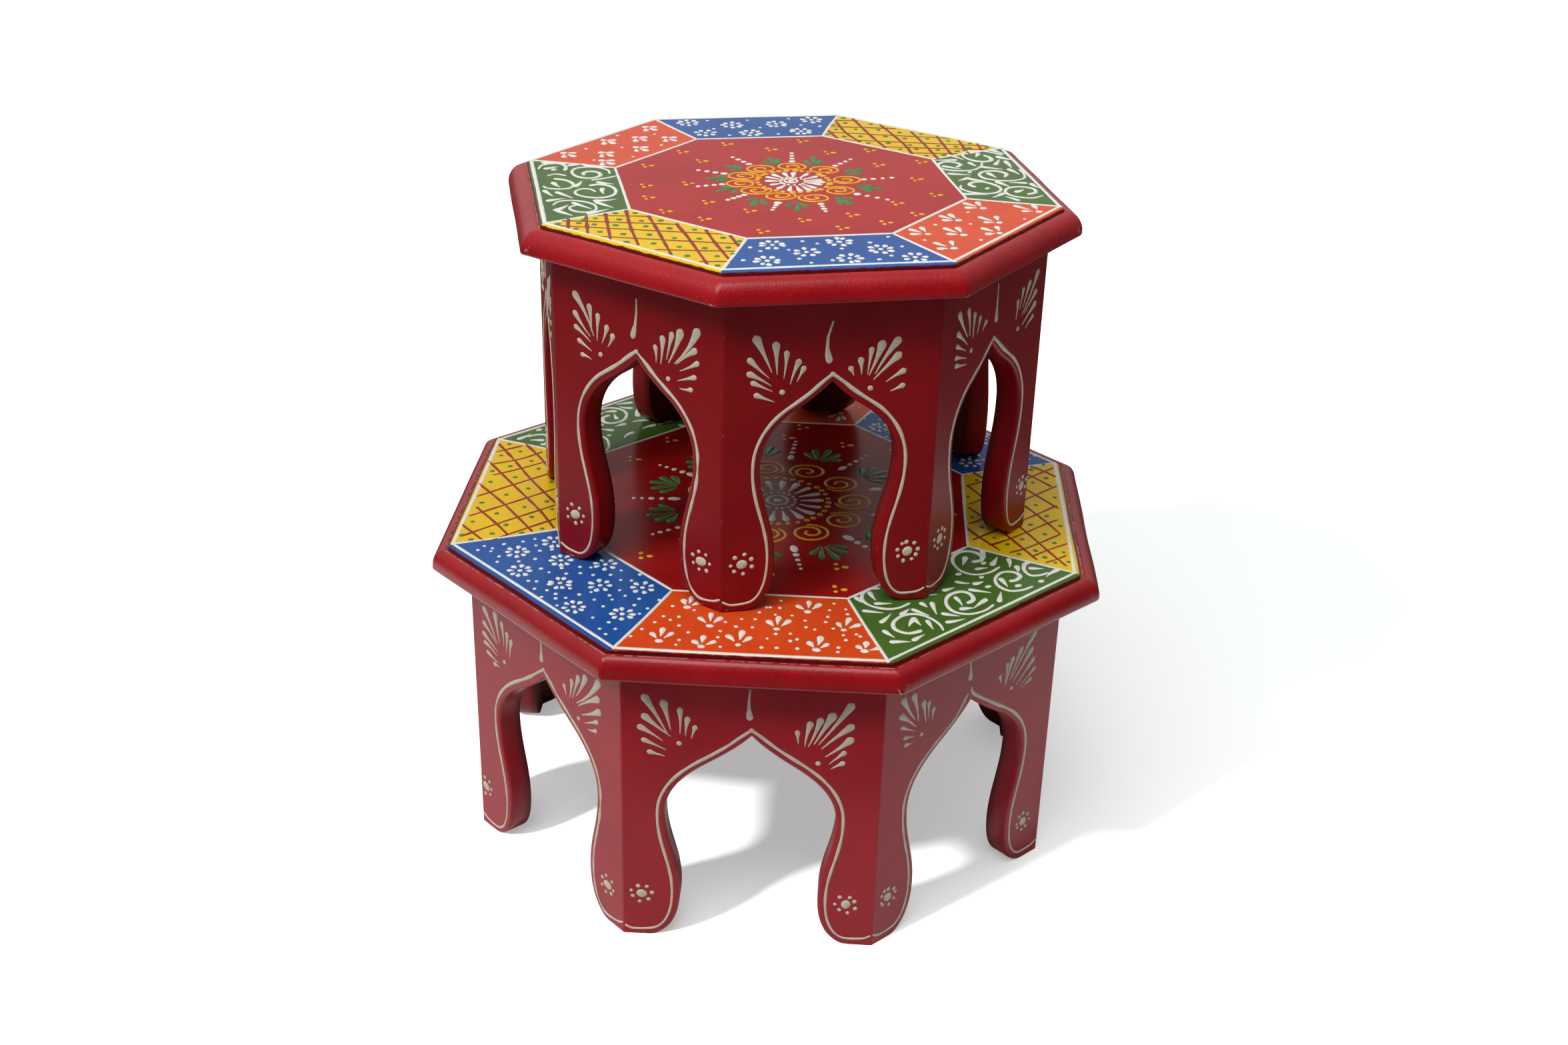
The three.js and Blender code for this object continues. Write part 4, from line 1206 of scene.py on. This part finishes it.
lowerYellow = {
    "down": (((-141.6, 50), (-131.5, 33.5), (-118.6, 10.8), (-103, -13.5)), ((-143, 29.3), (-127.2,
        5.5), (-109.5, -21.3), (-99.5, -39.5)), ((-142.6, 3.2), (-127, -17), (-109, -43.8)), ((-139,
        -22), (-127, -37.5), (-119.8, -48)), ((-142.2, -40.7), (-135, -49), (-130, -55)), ((-128.2,
        51.8), (-117, 34), (-111, 21))),
    "up": (((-141.5, 41), (-129.5, 50)), ((-141, 26.5), (-128, 34), (-118.6, 43.5)), ((-138.4, 14),
        (-126, 23), (-113.6, 33.5)), ((-141.4, -10), (-127, 4), (-110.3, 19.5)), ((-141.2, -31), (-127,
        -18), (-104.6, 3)), ((-141, -52), (-127, -38), (-102.2, -15)), ((-126.3, -54.4), (-111, -39.5),
        (-99.8, -29.2))),
    "specks": ((-136.8, 51), (-129.7, 42.8), (-138.4, 37), (-131.7, 25), (-139.4, 18.7), (-127.1, 12.8),
        (-138.1, 6.5), (-122.3, 32.1), (-117.3, 23.6), (-108.6, 9.2), (-118.6, 1), (-127.9, -6.8),
        (-107.4, -12.1), (-138, -16.5), (-117, -19.1), (-103.6, -20.2), (-128.8, -27.1), (-111.8,
        -29.1), (-138.4, -36.7), (-122.3, -38.4), (-105, -40.5), (-140.7, -50.6), (-127.1, -47.7),
        (-113.7, -45.7), (-135.7, -54.6)),
    "rightDown": (((99.5, 40.8), (104.4, 34.2), (123.1, 5.2), (132.2, -11.2), (137.2, -22)), ((95.6,
        26.2), (101.9, 15.1), (119.8, -18.4), (130.1, -39.5), (137.6, -54.1)), ((95.6, 1.4), (101.4,
        -7.2), (113.6, -28.7), (124.6, -49.2)), ((93.9, -20.4), (99.3, -29.2), (108, -41.2)), ((115.5,
        38), (125.2, 23.8), (138.5, 5.2)), ((123.1, 45.5), (129.1, 38.9), (137.1, 29.3)), ((128.7,
        51.7), (134.6, 46.7), (140.3, 40.6))),
    "rightUp": (((95.3, 5.5), (101.8, 11.4), (126.6, 38.1), (140, 51.7)), ((94.5, -15.4), (100.1,
        -10.9), (123.9, 14.2), (139.7, 30.2)), ((95.7, -32), (104, -24.3), (121.1, -8.8), (138.2, 8.3)),
        ((103.4, -36.9), (114, -28.7), (131.2, -12.3), (137.5, -7.1)), ((112.3, -43.2), (118.7, -39.2),
        (126.2, -32.8), (137.6, -22)), ((122.6, -45.9), (130.1, -39.1), (140, -31.4)), ((128.3, -51.4),
        (133.8, -47.6), (138.5, -43.4)), ((95.6, 26.2), (103.8, 31.9), (119.3, 46.2))),
    "rightSpecks": ((134.7, 54.8), (128.3, 48), (135.2, 38.8), (128.2, 33), (137.8, 17.1), (127.9, 7.8),
        (132.3, -3.6), (123.9, -13.5), (138.1, -13.6), (130, -23), (119.1, -29.2), (133.8, -31.6),
        (124.5, -40.1), (137.4, -40.5), (128.3, -46.3), (138.8, -49.9), (132.7, -51), (116.6, -44.2),
        (111.9, -35), (106, -29), (100.7, -18.3), (96.4, -8.2), (95.5, 13.6), (100.6, 32.7), (113.5,
        12.5), (108, -4), (117, 28), (106.5, 22), (118, 3)),
}


latticeSizes = {"high": (0.25, 0.2), "swell": (1.15, 1.1), "spacing": 2.0, "uneven": 0.18, "startDot": 1.5}


# crossed russet lines on the yellow fields, the second set thinner, with a dot where the brush was
# set down at the start of each line of the first set
def lattice(first, second, half, seed):
    s = latticeSizes
    parts = [brushLine(rows, half[i] * s["swell"][i], half[i], seed + 30 * i + j, s["high"][i],
                       s["spacing"], s["uneven"])
             for i, lines in enumerate((first, second)) for j, rows in enumerate(lines)]
    return parts + [dots([rows[0] for rows in first], half[0] * s["startDot"], seed, high=0.27)]


# a set of lines, each carried half a turn about the stool's axis
def acrossAll(lines):
    return [acrossFrom(rows, i) for i, rows in enumerate(lines)]


# fields that face away repeat those across the stool
def addUpperFields(stool):
    blue, orange, yellow = upperBlue, upperOrange, upperYellow
    back = np.array(orange["backDots"])[:, None] + np.array(orange["backBulbs"])
    addOnTop("flowers_1", stool, "cream", flowers(blue["front"], blue["frontSpecks"], seed=3))
    addOnTop("flowers_5", stool, "cream", flowers(blue["back"], blue["backSpecks"], seed=5))
    addOnTop("sprigs_2", stool, "cream", sprigs(orange["sprigs"], orange["specks"], seed=7))
    addOnTop("sprigs_6", stool, "cream", sprigs(back, orange["backSpecks"], seed=9))
    for number, green in ((3, upperGreenRight), (7, upperGreenLeft)):
        addOnTop(f"scrolls_{number}", stool, "cream", scrolls(**green, seed=number))
    half = (0.78, 0.6)
    steep, shallow, specks = yellow["steep"], yellow["shallow"], yellow["specks"]
    addOnTop("lattice_8", stool, "russet", lattice(steep, shallow, half, seed=2))
    addOnTop("lattice_dots_8", stool, "moss", [dots(specks, 1.4, seed=4)])
    addOnTop("lattice_4", stool, "russet", lattice(acrossAll(steep), acrossAll(shallow), half, seed=6))
    addOnTop("lattice_dots_4", stool, "moss", [dots(acrossFrom(specks, 8), 1.4, seed=8)])


# the fields at the back repeat those at the front, half a turn on
def addLowerFields(stool):
    blue, orange, green, yellow = lowerBlue, lowerOrange, lowerGreen, lowerYellow
    sprigsBack, sprigSpecks = acrossFrom(orange["sprigs"], 1), acrossFrom(orange["specks"], 2)
    flowersBack, flowerSpecks = acrossFrom(blue["flowers"], 3), acrossFrom(blue["specks"], 4)
    linesBack = [(*halves, acrossFrom(rows, i, 0.25)) for i, (*halves, rows) in enumerate(green["lines"])]
    leavesBack, blobsBack = acrossFrom(green["leaves"], 5, 0.3), acrossFrom(green["blobs"], 6)
    addOnTop("sprigs_1", stool, "cream", sprigs(orange["sprigs"], orange["specks"], seed=13))
    addOnTop("sprigs_5", stool, "cream", sprigs(sprigsBack, sprigSpecks, seed=15))
    addOnTop("flowers_8", stool, "cream", flowers(blue["flowers"], blue["specks"], seed=17))
    addOnTop("flowers_4", stool, "cream", flowers(flowersBack, flowerSpecks, seed=19))
    addOnTop("scrolls_2", stool, "cream", scrolls(**green, seed=21))
    addOnTop("scrolls_6", stool, "cream", scrolls(linesBack, leavesBack, blobsBack, seed=23))
    half = (0.72, 0.68)
    addOnTop("lattice_7", stool, "russet", lattice(yellow["down"], yellow["up"], half, seed=25))
    addOnTop("lattice_dots_7", stool, "moss", [dots(yellow["specks"], 1.3, seed=26)])
    right = lattice(yellow["rightDown"], yellow["rightUp"], half, seed=27)
    addOnTop("lattice_3", stool, "russet", right)
    addOnTop("lattice_dots_3", stool, "moss", [dots(yellow["rightSpecks"], 1.3, seed=28)])


# points on a circle, with a stray of their angles
def circle(centre, radius, count, start=0.0, stray=0.0, seed=0):
    angle = np.linspace(0, 2 * np.pi, count, endpoint=False) + start
    angle = angle + np.random.default_rng(seed).normal(0, 1, count) * stray
    return np.array(centre) + rays(angle) * radius


# a ring drawn in one stroke
def ringLine(centre, radius, count, half, high, spacing):
    points = circle(centre, radius, count)
    return brushLine(np.concatenate([points, points[:1]]), half, half, 3, high, spacing, 0.1)


scallopShape = {
    "steps": 44, "high": 0.3, "startTurn": 0.35, "stray": 0.2,
    "whole": 0.3, "closes": 0.82, "closing": 0.9,  # share at full reach, how far it closes, by what power
    "startWidths": (0.5, 0.85), "endWidths": (1.1, 1.3, 0.8),
}


# scallops: a spiral that opens towards the rosette's middle. The reach stays whole for the first
# part of its turns and then falls to a fifth, wider across than deep
def spirals(centres, radius, middle, seed, turns, half, deep):
    s = scallopShape
    rng = np.random.default_rng(seed)
    centres = np.array(centres, float)
    toMiddle = np.array(middle) - centres
    stray = rng.normal(0, s["stray"], (len(centres), 1))
    start = np.arctan2(toMiddle[:, 1], toMiddle[:, 0])[:, None] + stray
    way = rng.choice([-1, 1], (len(centres), 1))
    t = np.linspace(0, 1, s["steps"])
    angle = start + way * (2 * np.pi * turns * t + s["startTurn"])
    fall = np.clip((t - s["whole"]) / (1 - s["whole"]), 0, 1)
    reach = (np.zeros(len(centres)) + radius)[:, None] * (1 - s["closes"] * fall ** s["closing"])
    line = centres[:, None] + rays(angle) * (1, deep) * reach[..., None]
    first, last = s["startWidths"], s["endWidths"]
    widths = np.concatenate([first, np.ones(s["steps"] - len(first) - len(last)), last])
    return sweep(line, half * widths + 0 * reach, s["high"] + 0 * reach)


upperRosette = {
    "eye": (2.0, 3.1), "middle": (2.7, 2.2), "goldRing": (3.0, 2.2), "rayDotSizes": (1.6, 1.35, 1.2, 1.1),
    "petalBulb": 0.94, "petalTip": 0.5, "leafBulb": 0.12, "leafTips": (0.8, 0.95, 0.8),
    "petals": ((-9, 4), (-8, 10), (-4.5, 13.5), (1, 15.5), (5.5, 15.5), (11.5, 13), (15, 8.5), (16, 3),
        (16.5, -0.5), (14.5, -4), (11, -9), (8, -12), (3.5, -13), (-1.5, -12), (-6, -8), (-8, -2)),
    "scallops": ((-8, 22.5), (6, 24.6), (19.9, 18), (26.8, 2), (20.6, -13.5), (7.4, -22.9), (-6.7,
        -18.7), (-16, -9.7), (-20.7, 1), (-18.2, 12.5)),
    "rays": ((-12.6, 30.9, -18.4, 42.5), (8.1, 33.3, 10.4, 46.5), (26.8, 24.3, 36, 33.8), (35.4, 1.9,
        48.7, 3.2), (27.7, -19.4, 39.2, -28.8), (8.8, -31.9, 8.8, -42.3), (-9.6, -28.4, -13.7, -38),
        (-22.4, -15.8, -30.6, -22), (-29.7, 0.9, -40.8, -1.2), (-26.4, 17, -37.2, 23.4)),
    "leaves": ((-0.6, 27.4, -1.9, 40.2, -5.4, 34.7, 2.4, 37.1), (16.4, 24.3, 19.6, 40.2, 14.4, 33.3, 22,
        33.6), (28.2, 11.1, 32, 18, 37.9, 18, 35.5, 10.4), (29, -7.3, 37.2, -8.3, 40.7, -13.2, 34.5,
        -16.3), (16.4, -21.8, 17.8, -32.6, 22.7, -34, 24.4, -26.4), (-0.9, -27, -6.8, -33.6, -3.3,
        -41.3, 1.9, -35.7), (-16.5, -20.1, -22, -22.9, -21.4, -31.6, -15.1, -29.8), (-24.1, -5.5, -29.3,
        -3.5, -34.2, -9.4, -26.6, -12.1), (-24.8, 9, -29.7, 13.2, -35.6, 10.1, -30.4, 6.2), (-16.2,
        21.5, -19.3, 29.1, -24.1, 29.1, -22.4, 22.2)),
    "trios": ((-19, 65), (18, 67), (-42, 54), (0.5, 54), (27, 46), (47, 48), (-35, 38), (-61, 33), (46,
        24), (67, 27), (-65, 2.5), (-46, 4), (58, 0), (61, -24), (-66, -15), (-41, -24), (-61, -35),
        (-25, -38), (41, -34), (-46, -47), (18, -48), (46, -50), (-4, -53), (30, -60), (-24, -66), (10,
        -65)),
}


# the rosette that shows whole: petals reach half way in from their bulbs, the dots of a ray stand at
# even shares between its ends, and each leaf's drops point from near its edge towards its foot
def addUpperRosette(stool):
    r = upperRosette
    middle = np.array(r["middle"])
    outer = middle + (np.array(r["petals"]) - middle) * r["petalBulb"]
    inner = middle + (outer - middle) * r["petalTip"]
    ray = np.array(r["rays"])
    share = np.linspace(0, 1, len(r["rayDotSizes"]))[None, :, None]
    rayDots = (ray[:, None, :2] * (1 - share) + ray[:, None, 2:] * share).reshape(-1, 2)
    addOnTop("rosette", stool, "cream", [
        drops(outer, inner, 1.42, seed=31, tail=0.65), dots([r["eye"]], 1.15, seed=31, stretch=1.3),
        ringLine(r["eye"], 3.0, 13, half=0.65, high=0.3, spacing=1.0),
        dots(circle(r["middle"], 5.6, 14, start=0.2, stray=0.05), 0.85, seed=32, high=0.25),
        dots(rayDots, np.tile(r["rayDotSizes"], len(ray)), seed=33, stretch=1.1)])
    addOnTop("scallops", stool, "gold", [
        spirals(r["scallops"], 6.8, middle, seed=34, turns=1.85, half=0.6, deep=0.8),
        dots(circle(r["goldRing"], 16.4, 28, stray=0.03, seed=2), 1.32, seed=35, high=0.33, stretch=1.15)])
    leaf = np.array(r["leaves"]).reshape(-1, 4, 2)
    outwards = leaf[:, 1:] - leaf[:, :1]
    bulbs = leaf[:, 1:] - outwards * r["leafBulb"]
    tips = leaf[:, 1:] - outwards * np.array(r["leafTips"])[:, None]
    addOnTop("rosette_leaves", stool, "leaf", [
        drops(bulbs.reshape(-1, 2), tips.reshape(-1, 2), 1.65, seed=36, tail=0.45, high=0.28)])
    addOnTop("gold_dots", stool, "gold", goldTrios(r["trios"], size=1.0, seed=37))


trio = {"pair": ((-0.3, 1.6), (0.2, -2.2)), "pairDot": 1.02, "beside": (3.3, -0.5), "besideDot": 1.05}


# gold dots in threes: two round ones and a longer one beside them
def goldTrios(places, size, seed):
    places = np.array(places, float)
    pairs = (places[:, None] + np.array(trio["pair"]) * size).reshape(-1, 2)
    beside = places + np.array(trio["beside"]) * size
    return [dots(pairs, trio["pairDot"] * size, seed),
            dots(beside, trio["besideDot"] * size, seed + 1, stretch=1.4)]


lowerRosette = {
    "middle": (3.0, 0.0), "petals": 18, "petalFrom": 20.4, "petalTo": 11.4,
    "scallops": 11, "scallopReach": 36.0, "scallopRadius": 8.5,
    "rayDots": (50, 56, 61, 65.5, 69.5), "rayDotSizes": (1.6, 1.4, 1.2, 1.05),
    "leafReach": 49, "leafFan": (-52, -27, 0, 27, 52), "leafLengths": (10.5, 13, 14.5, 13, 10.5),
    "trios": ((-57, 65), (-73, 40), (-56, -62), (33, -64), (33, -85), (10, 88), (3, 74), (33, 68), (-80,
        -8), (-78, -30), (-30, -80), (0, -74), (62, -58), (80, -26), (76, 8), (74, 38), (-30, 78), (58,
        62), (-12, -88), (84, -6)),
}


# the rosette that is half hidden, set out evenly: scallops and leaves at the same angles, the rays
# of dots half way between them
def addLowerRosette(stool):
    r = lowerRosette
    middle = np.array(r["middle"])
    angles = np.linspace(0, 2 * np.pi, r["scallops"], endpoint=False) + 0.06
    halfWay = angles + np.pi / r["scallops"]
    petals = [circle(middle, r[end], r["petals"], start=0.1, stray=0.02)
              for end in ("petalFrom", "petalTo")]
    rayDots = middle + rays(halfWay)[:, None] * np.array(r["rayDots"])[None, :, None]
    addOnTop("rosette", stool, "cream", [
        drops(*petals, 1.85, seed=41, tail=0.7), dots([middle], 2.0, seed=41),
        ringLine(middle, 5.0, 15, half=0.85, high=0.33, spacing=1.2),
        dots(circle(middle, 8.6, 18, start=0.2, stray=0.04), 1.0, seed=42),
        dots(rayDots[:, 0], 2.1, seed=43, high=0.35, stretch=1.8, turn=halfWay),
        dots(rayDots[:, 1:].reshape(-1, 2), np.tile(r["rayDotSizes"], r["scallops"]), seed=44)])
    centres = middle + rays(angles) * r["scallopReach"]
    addOnTop("scallops", stool, "gold", [
        spirals(centres, r["scallopRadius"], middle, seed=45, turns=1.9, half=0.8, deep=0.9),
        dots(circle(middle, 24.6, 34, stray=0.02), 1.55, seed=46, high=0.33)])
    base = (middle + rays(angles) * r["leafReach"])[:, None]
    direction = rays(angles[:, None] + np.radians(r["leafFan"]))
    bulbs, tips = base + direction * np.array(r["leafLengths"])[:, None], base + direction * 2.5
    addOnTop("rosette_leaves", stool, "leaf", [
        drops(bulbs.reshape(-1, 2), tips.reshape(-1, 2), 1.9, seed=47, tail=0.5, high=0.3)])
    addOnTop("gold_dots", stool, "gold", goldTrios(r["trios"], size=1.2, seed=48))


print("painting brushwork")
for stool in stools:
    addFieldLines(stool)
    for number in range(1, 9):
        addArchLine(stool, number)
        addPanelMotifs(stool, number)
addUpperFields(upperStool)
addUpperRosette(upperStool)
addLowerFields(lowerStool)
addLowerRosette(lowerStool)


# corner blocks and screws are the CAD's own meshes and get these finishes. Bare softwood: growth
# rings round an axis beside the block, streaks along it, dust and glue marks
def blockWood(stool):
    look = {"early": rgb(186, 142, 94), "late": rgb(148, 100, 60), "dirt": rgb(112, 70, 46),
            "overspray": rgb(88, 20, 18), "rings": 3.1, "pith": (-31, 17)}
    f = Finish(f"{stool['name']}BlockWood", stool)
    warp = f.noise(26, 2, 0.5)
    x, y = look["pith"]
    distance = ((f.x - x) ** 2 + (f.y - y) ** 2) ** 0.5 + warp * 9
    ring = (distance / look["rings"]).fraction()
    streak = f.noise(1.1, 3, 0.6, f.stretch((1, 1, 0.06)))
    colour = f.mix(ring.ramp(0.5, 0.97), look["early"], look["late"])
    colour = f.mix(streak.ramp(0.5, 0.8) * 0.5, colour, look["late"])
    colour = f.mix(f.noise(12, 4, 0.65).ramp(0.55, 0.75) * 0.5, colour, look["dirt"])
    colour = f.mix(f.noise(7, 3, 0.6).ramp(0.36, 0.6) * 0.8, colour, look["overspray"])
    return f.set(Base_Color=colour, Roughness=streak * 0.2 + 0.55,
                 Normal=f.bump(ring * 0.4 + streak * 0.6, 0.12))


# zinc-plated steel: fine turned marks, dulled patches
def screwSteel(stool):
    f = Finish(f"{stool['name']}ScrewSteel", stool)
    turned = f.noise(0.35, 2, 0.5, f.stretch((1, 1, 6)))
    patch = f.noise(3.0, 3, 0.6)
    colour = f.mix(patch.ramp(0.45, 0.7), rgb(186, 184, 176), rgb(148, 142, 128))
    return f.set(Base_Color=colour, Metallic=1.0, Roughness=patch * 0.25 + turned * 0.12 + 0.18,
                 Normal=f.bump(turned, 0.03))


print("finishing blocks and screws")
for stool in stools:
    wood, steel = blockWood(stool), screwSteel(stool)
    for number in range(1, 9):
        for node, material in (("corner_block", wood), ("block_screw", steel)):
            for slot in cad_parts[f"{stool['name']}_{node}_{number}"].material_slots:
                slot.material = material


# camera, floor and light
photoView = {
    "azimuth": 2.386, "elevation": 26.71, "roll": 1.508, "distance": 929.4,
    "target": (1.17, 7.82, 146.0), "lens": 43.59, "sensor": 36, "shift": (0.0062, -0.0069),
    "near": 0.01, "far": 40,
}


# the camera stands back from the target by the distance, along (sin a cos e, -cos a cos e, sin e) for
# azimuth a and elevation e, and roll turns it about its own axis
def makeCamera():
    v = photoView
    azimuth, elevation, roll = (np.radians(v[key]) for key in ("azimuth", "elevation", "roll"))
    level = np.cos(elevation)
    back = np.array([np.sin(azimuth) * level, -np.cos(azimuth) * level, np.sin(elevation)])
    right = np.array([np.cos(azimuth), np.sin(azimuth), 0])
    up = np.cross(back, right)
    cos, sin = np.cos(roll), np.sin(roll)
    turned = np.stack([cos * right + sin * up, cos * up - sin * right, back], 1)
    matrix = Matrix(turned.tolist()).to_4x4()
    matrix.translation = Vector(((np.array(v["target"]) + back * v["distance"]) * mm).tolist())
    data = bpy.data.cameras.new("photoCamera")
    data.lens = v["lens"]
    data.sensor_width = v["sensor"]
    data.shift_x, data.shift_y = v["shift"]
    data.clip_start, data.clip_end = v["near"], v["far"]
    camera = addObject("photoCamera", data)
    camera.matrix_world = matrix
    bpy.context.scene.camera = camera


studio = {
    "floorReach": 9.0, "floorLit": (0.3, 0.3, 0.3, 1),           # as light bounces from it
    "floorSeen": (0.86, 0.9, 0.9, 1), "floorGlow": (0.37, 0.37, 0.37, 1),  # together white where lit
    "sheet": (0.72, 0.28), "sheetLeft": 0.1,                     # half axes of the lit sheet, in metres
    "sheetFrom": 1.12, "sheetTo": 0.75,                          # where it fades out, in half axes
    "paintedPoolGloss": (0.78, 0.78, 0.78, 1), "roomGloss": (0.06, 0.06, 0.06, 1),  # as gloss mirrors them
    "keys": {"softKey": ((-0.52, -0.44, 0.73), 1.0, 14.0),      # on everything but the floor
             "floorKey": ((-0.578, -0.485, 0.656), 3.6, 4.5)},  # on the floor alone, for the shadow's place
    "lampPower": 9.3, "lampSize": 0.8, "lampAt": (-0.14, -0.6, 1.45),
    "skyLow": 0.16, "skyRise": 0.48, "skyBack": 0.24, "skyLeft": 0.16,  # horizon, and what each way adds
    "skyLeast": 0.04, "black": (0, 0, 0, 1), "white": (1, 1, 1, 1),
}


# 1 for rays of one kind, such as Is Camera Ray, and 0 for the others
def rayKind(tree, kind):
    return addNode(tree, "ShaderNodeLightPath", {}, {}, kind)


# a pale floor: one paint for the camera, one for gloss, where distance from the middle in half axes
# of an ellipse fades a painted pool of light out, and one for the light that it gives back
def makeFloor():
    reach = studio["floorReach"]
    mesh = bpy.data.meshes.new("paleFloor")
    corners = [(-reach, -reach, 0), (reach, -reach, 0), (reach, reach, 0), (-reach, reach, 0)]
    mesh.from_pydata(corners, [], [(0, 1, 2, 3)])
    floor = addObject("paleFloor", mesh)
    f = Finish("floorCard")
    camera = rayKind(f.tree, "Is Camera Ray")
    mirrored = rayKind(f.tree, "Is Glossy Ray").most(rayKind(f.tree, "Is Transmission Ray"))
    across, deep = studio["sheet"]
    # painted pool of light: the floor that gloss mirrors is bright round the stools and fades to dark
    # farther out
    away = (((f.x * mm + studio["sheetLeft"]) / across) ** 2 + (f.y * mm / deep) ** 2) ** 0.5
    lit = away.ramp(studio["sheetFrom"], studio["sheetTo"])
    sheet = f.mix(lit, studio["roomGloss"], studio["paintedPoolGloss"])
    colour = f.mix(camera, f.mix(mirrored, studio["floorLit"], sheet), studio["floorSeen"])
    glow = f.mix(camera, studio["black"], studio["floorGlow"])
    mesh.materials.append(f.set(Base_Color=colour, Emission_Color=glow, Emission_Strength=1.0,
                                Roughness=0.9, Specular_IOR_Level=0.0))
    return floor


# two suns, one for the object and one for the floor alone, and a panel overhead
def makeLamps(floor):
    for name, (place, strength, angle) in studio["keys"].items():
        sun = bpy.data.lights.new(name, "SUN")
        sun.energy = strength
        sun.angle = float(np.radians(angle))
        key = addObject(name, sun)
        aim(key, place)
        receivers = bpy.data.collections.new(f"{name}Receivers")
        receivers.objects.link(floor)
        state = "INCLUDE" if name == "floorKey" else "EXCLUDE"
        receivers.collection_objects[0].light_linking.link_state = state
        key.light_linking.receiver_collection = receivers
    panel = bpy.data.lights.new("overheadPanel", "AREA")
    panel.energy = studio["lampPower"]
    panel.size = studio["lampSize"]
    lamp = addObject("overheadPanel", panel)
    lamp.location = studio["lampAt"]
    aim(lamp, studio["lampAt"])


# a lamp shines from the given place towards the origin
def aim(lamp, place):
    lamp.rotation_euler = Vector(place).to_track_quat("Z", "Y").to_euler()


# the room's light grows upwards, to the back and to the left of a low horizon, and the camera sees white
def makeRoom():
    world = bpy.data.worlds.new("softRoom")
    bpy.context.scene.world = world
    world.use_nodes = True
    tree = world.node_tree
    background = tree.nodes["Background"]
    right, away, up = apart(tree, addNode(tree, "ShaderNodeTexCoord", {}, {}, "Generated"))
    strength = up.most(0) * studio["skyRise"] + away * studio["skyBack"] - right * studio["skyLeft"]
    strength = (strength + studio["skyLow"]).most(studio["skyLeast"]).most(rayKind(tree, "Is Camera Ray"))
    connect(tree, strength, background.inputs["Strength"])
    connect(tree, studio["white"], background.inputs["Color"])


print("setting camera and light")
makeCamera()
makeLamps(makeFloor())
makeRoom()
bpy.context.scene.view_settings.view_transform = "Standard"
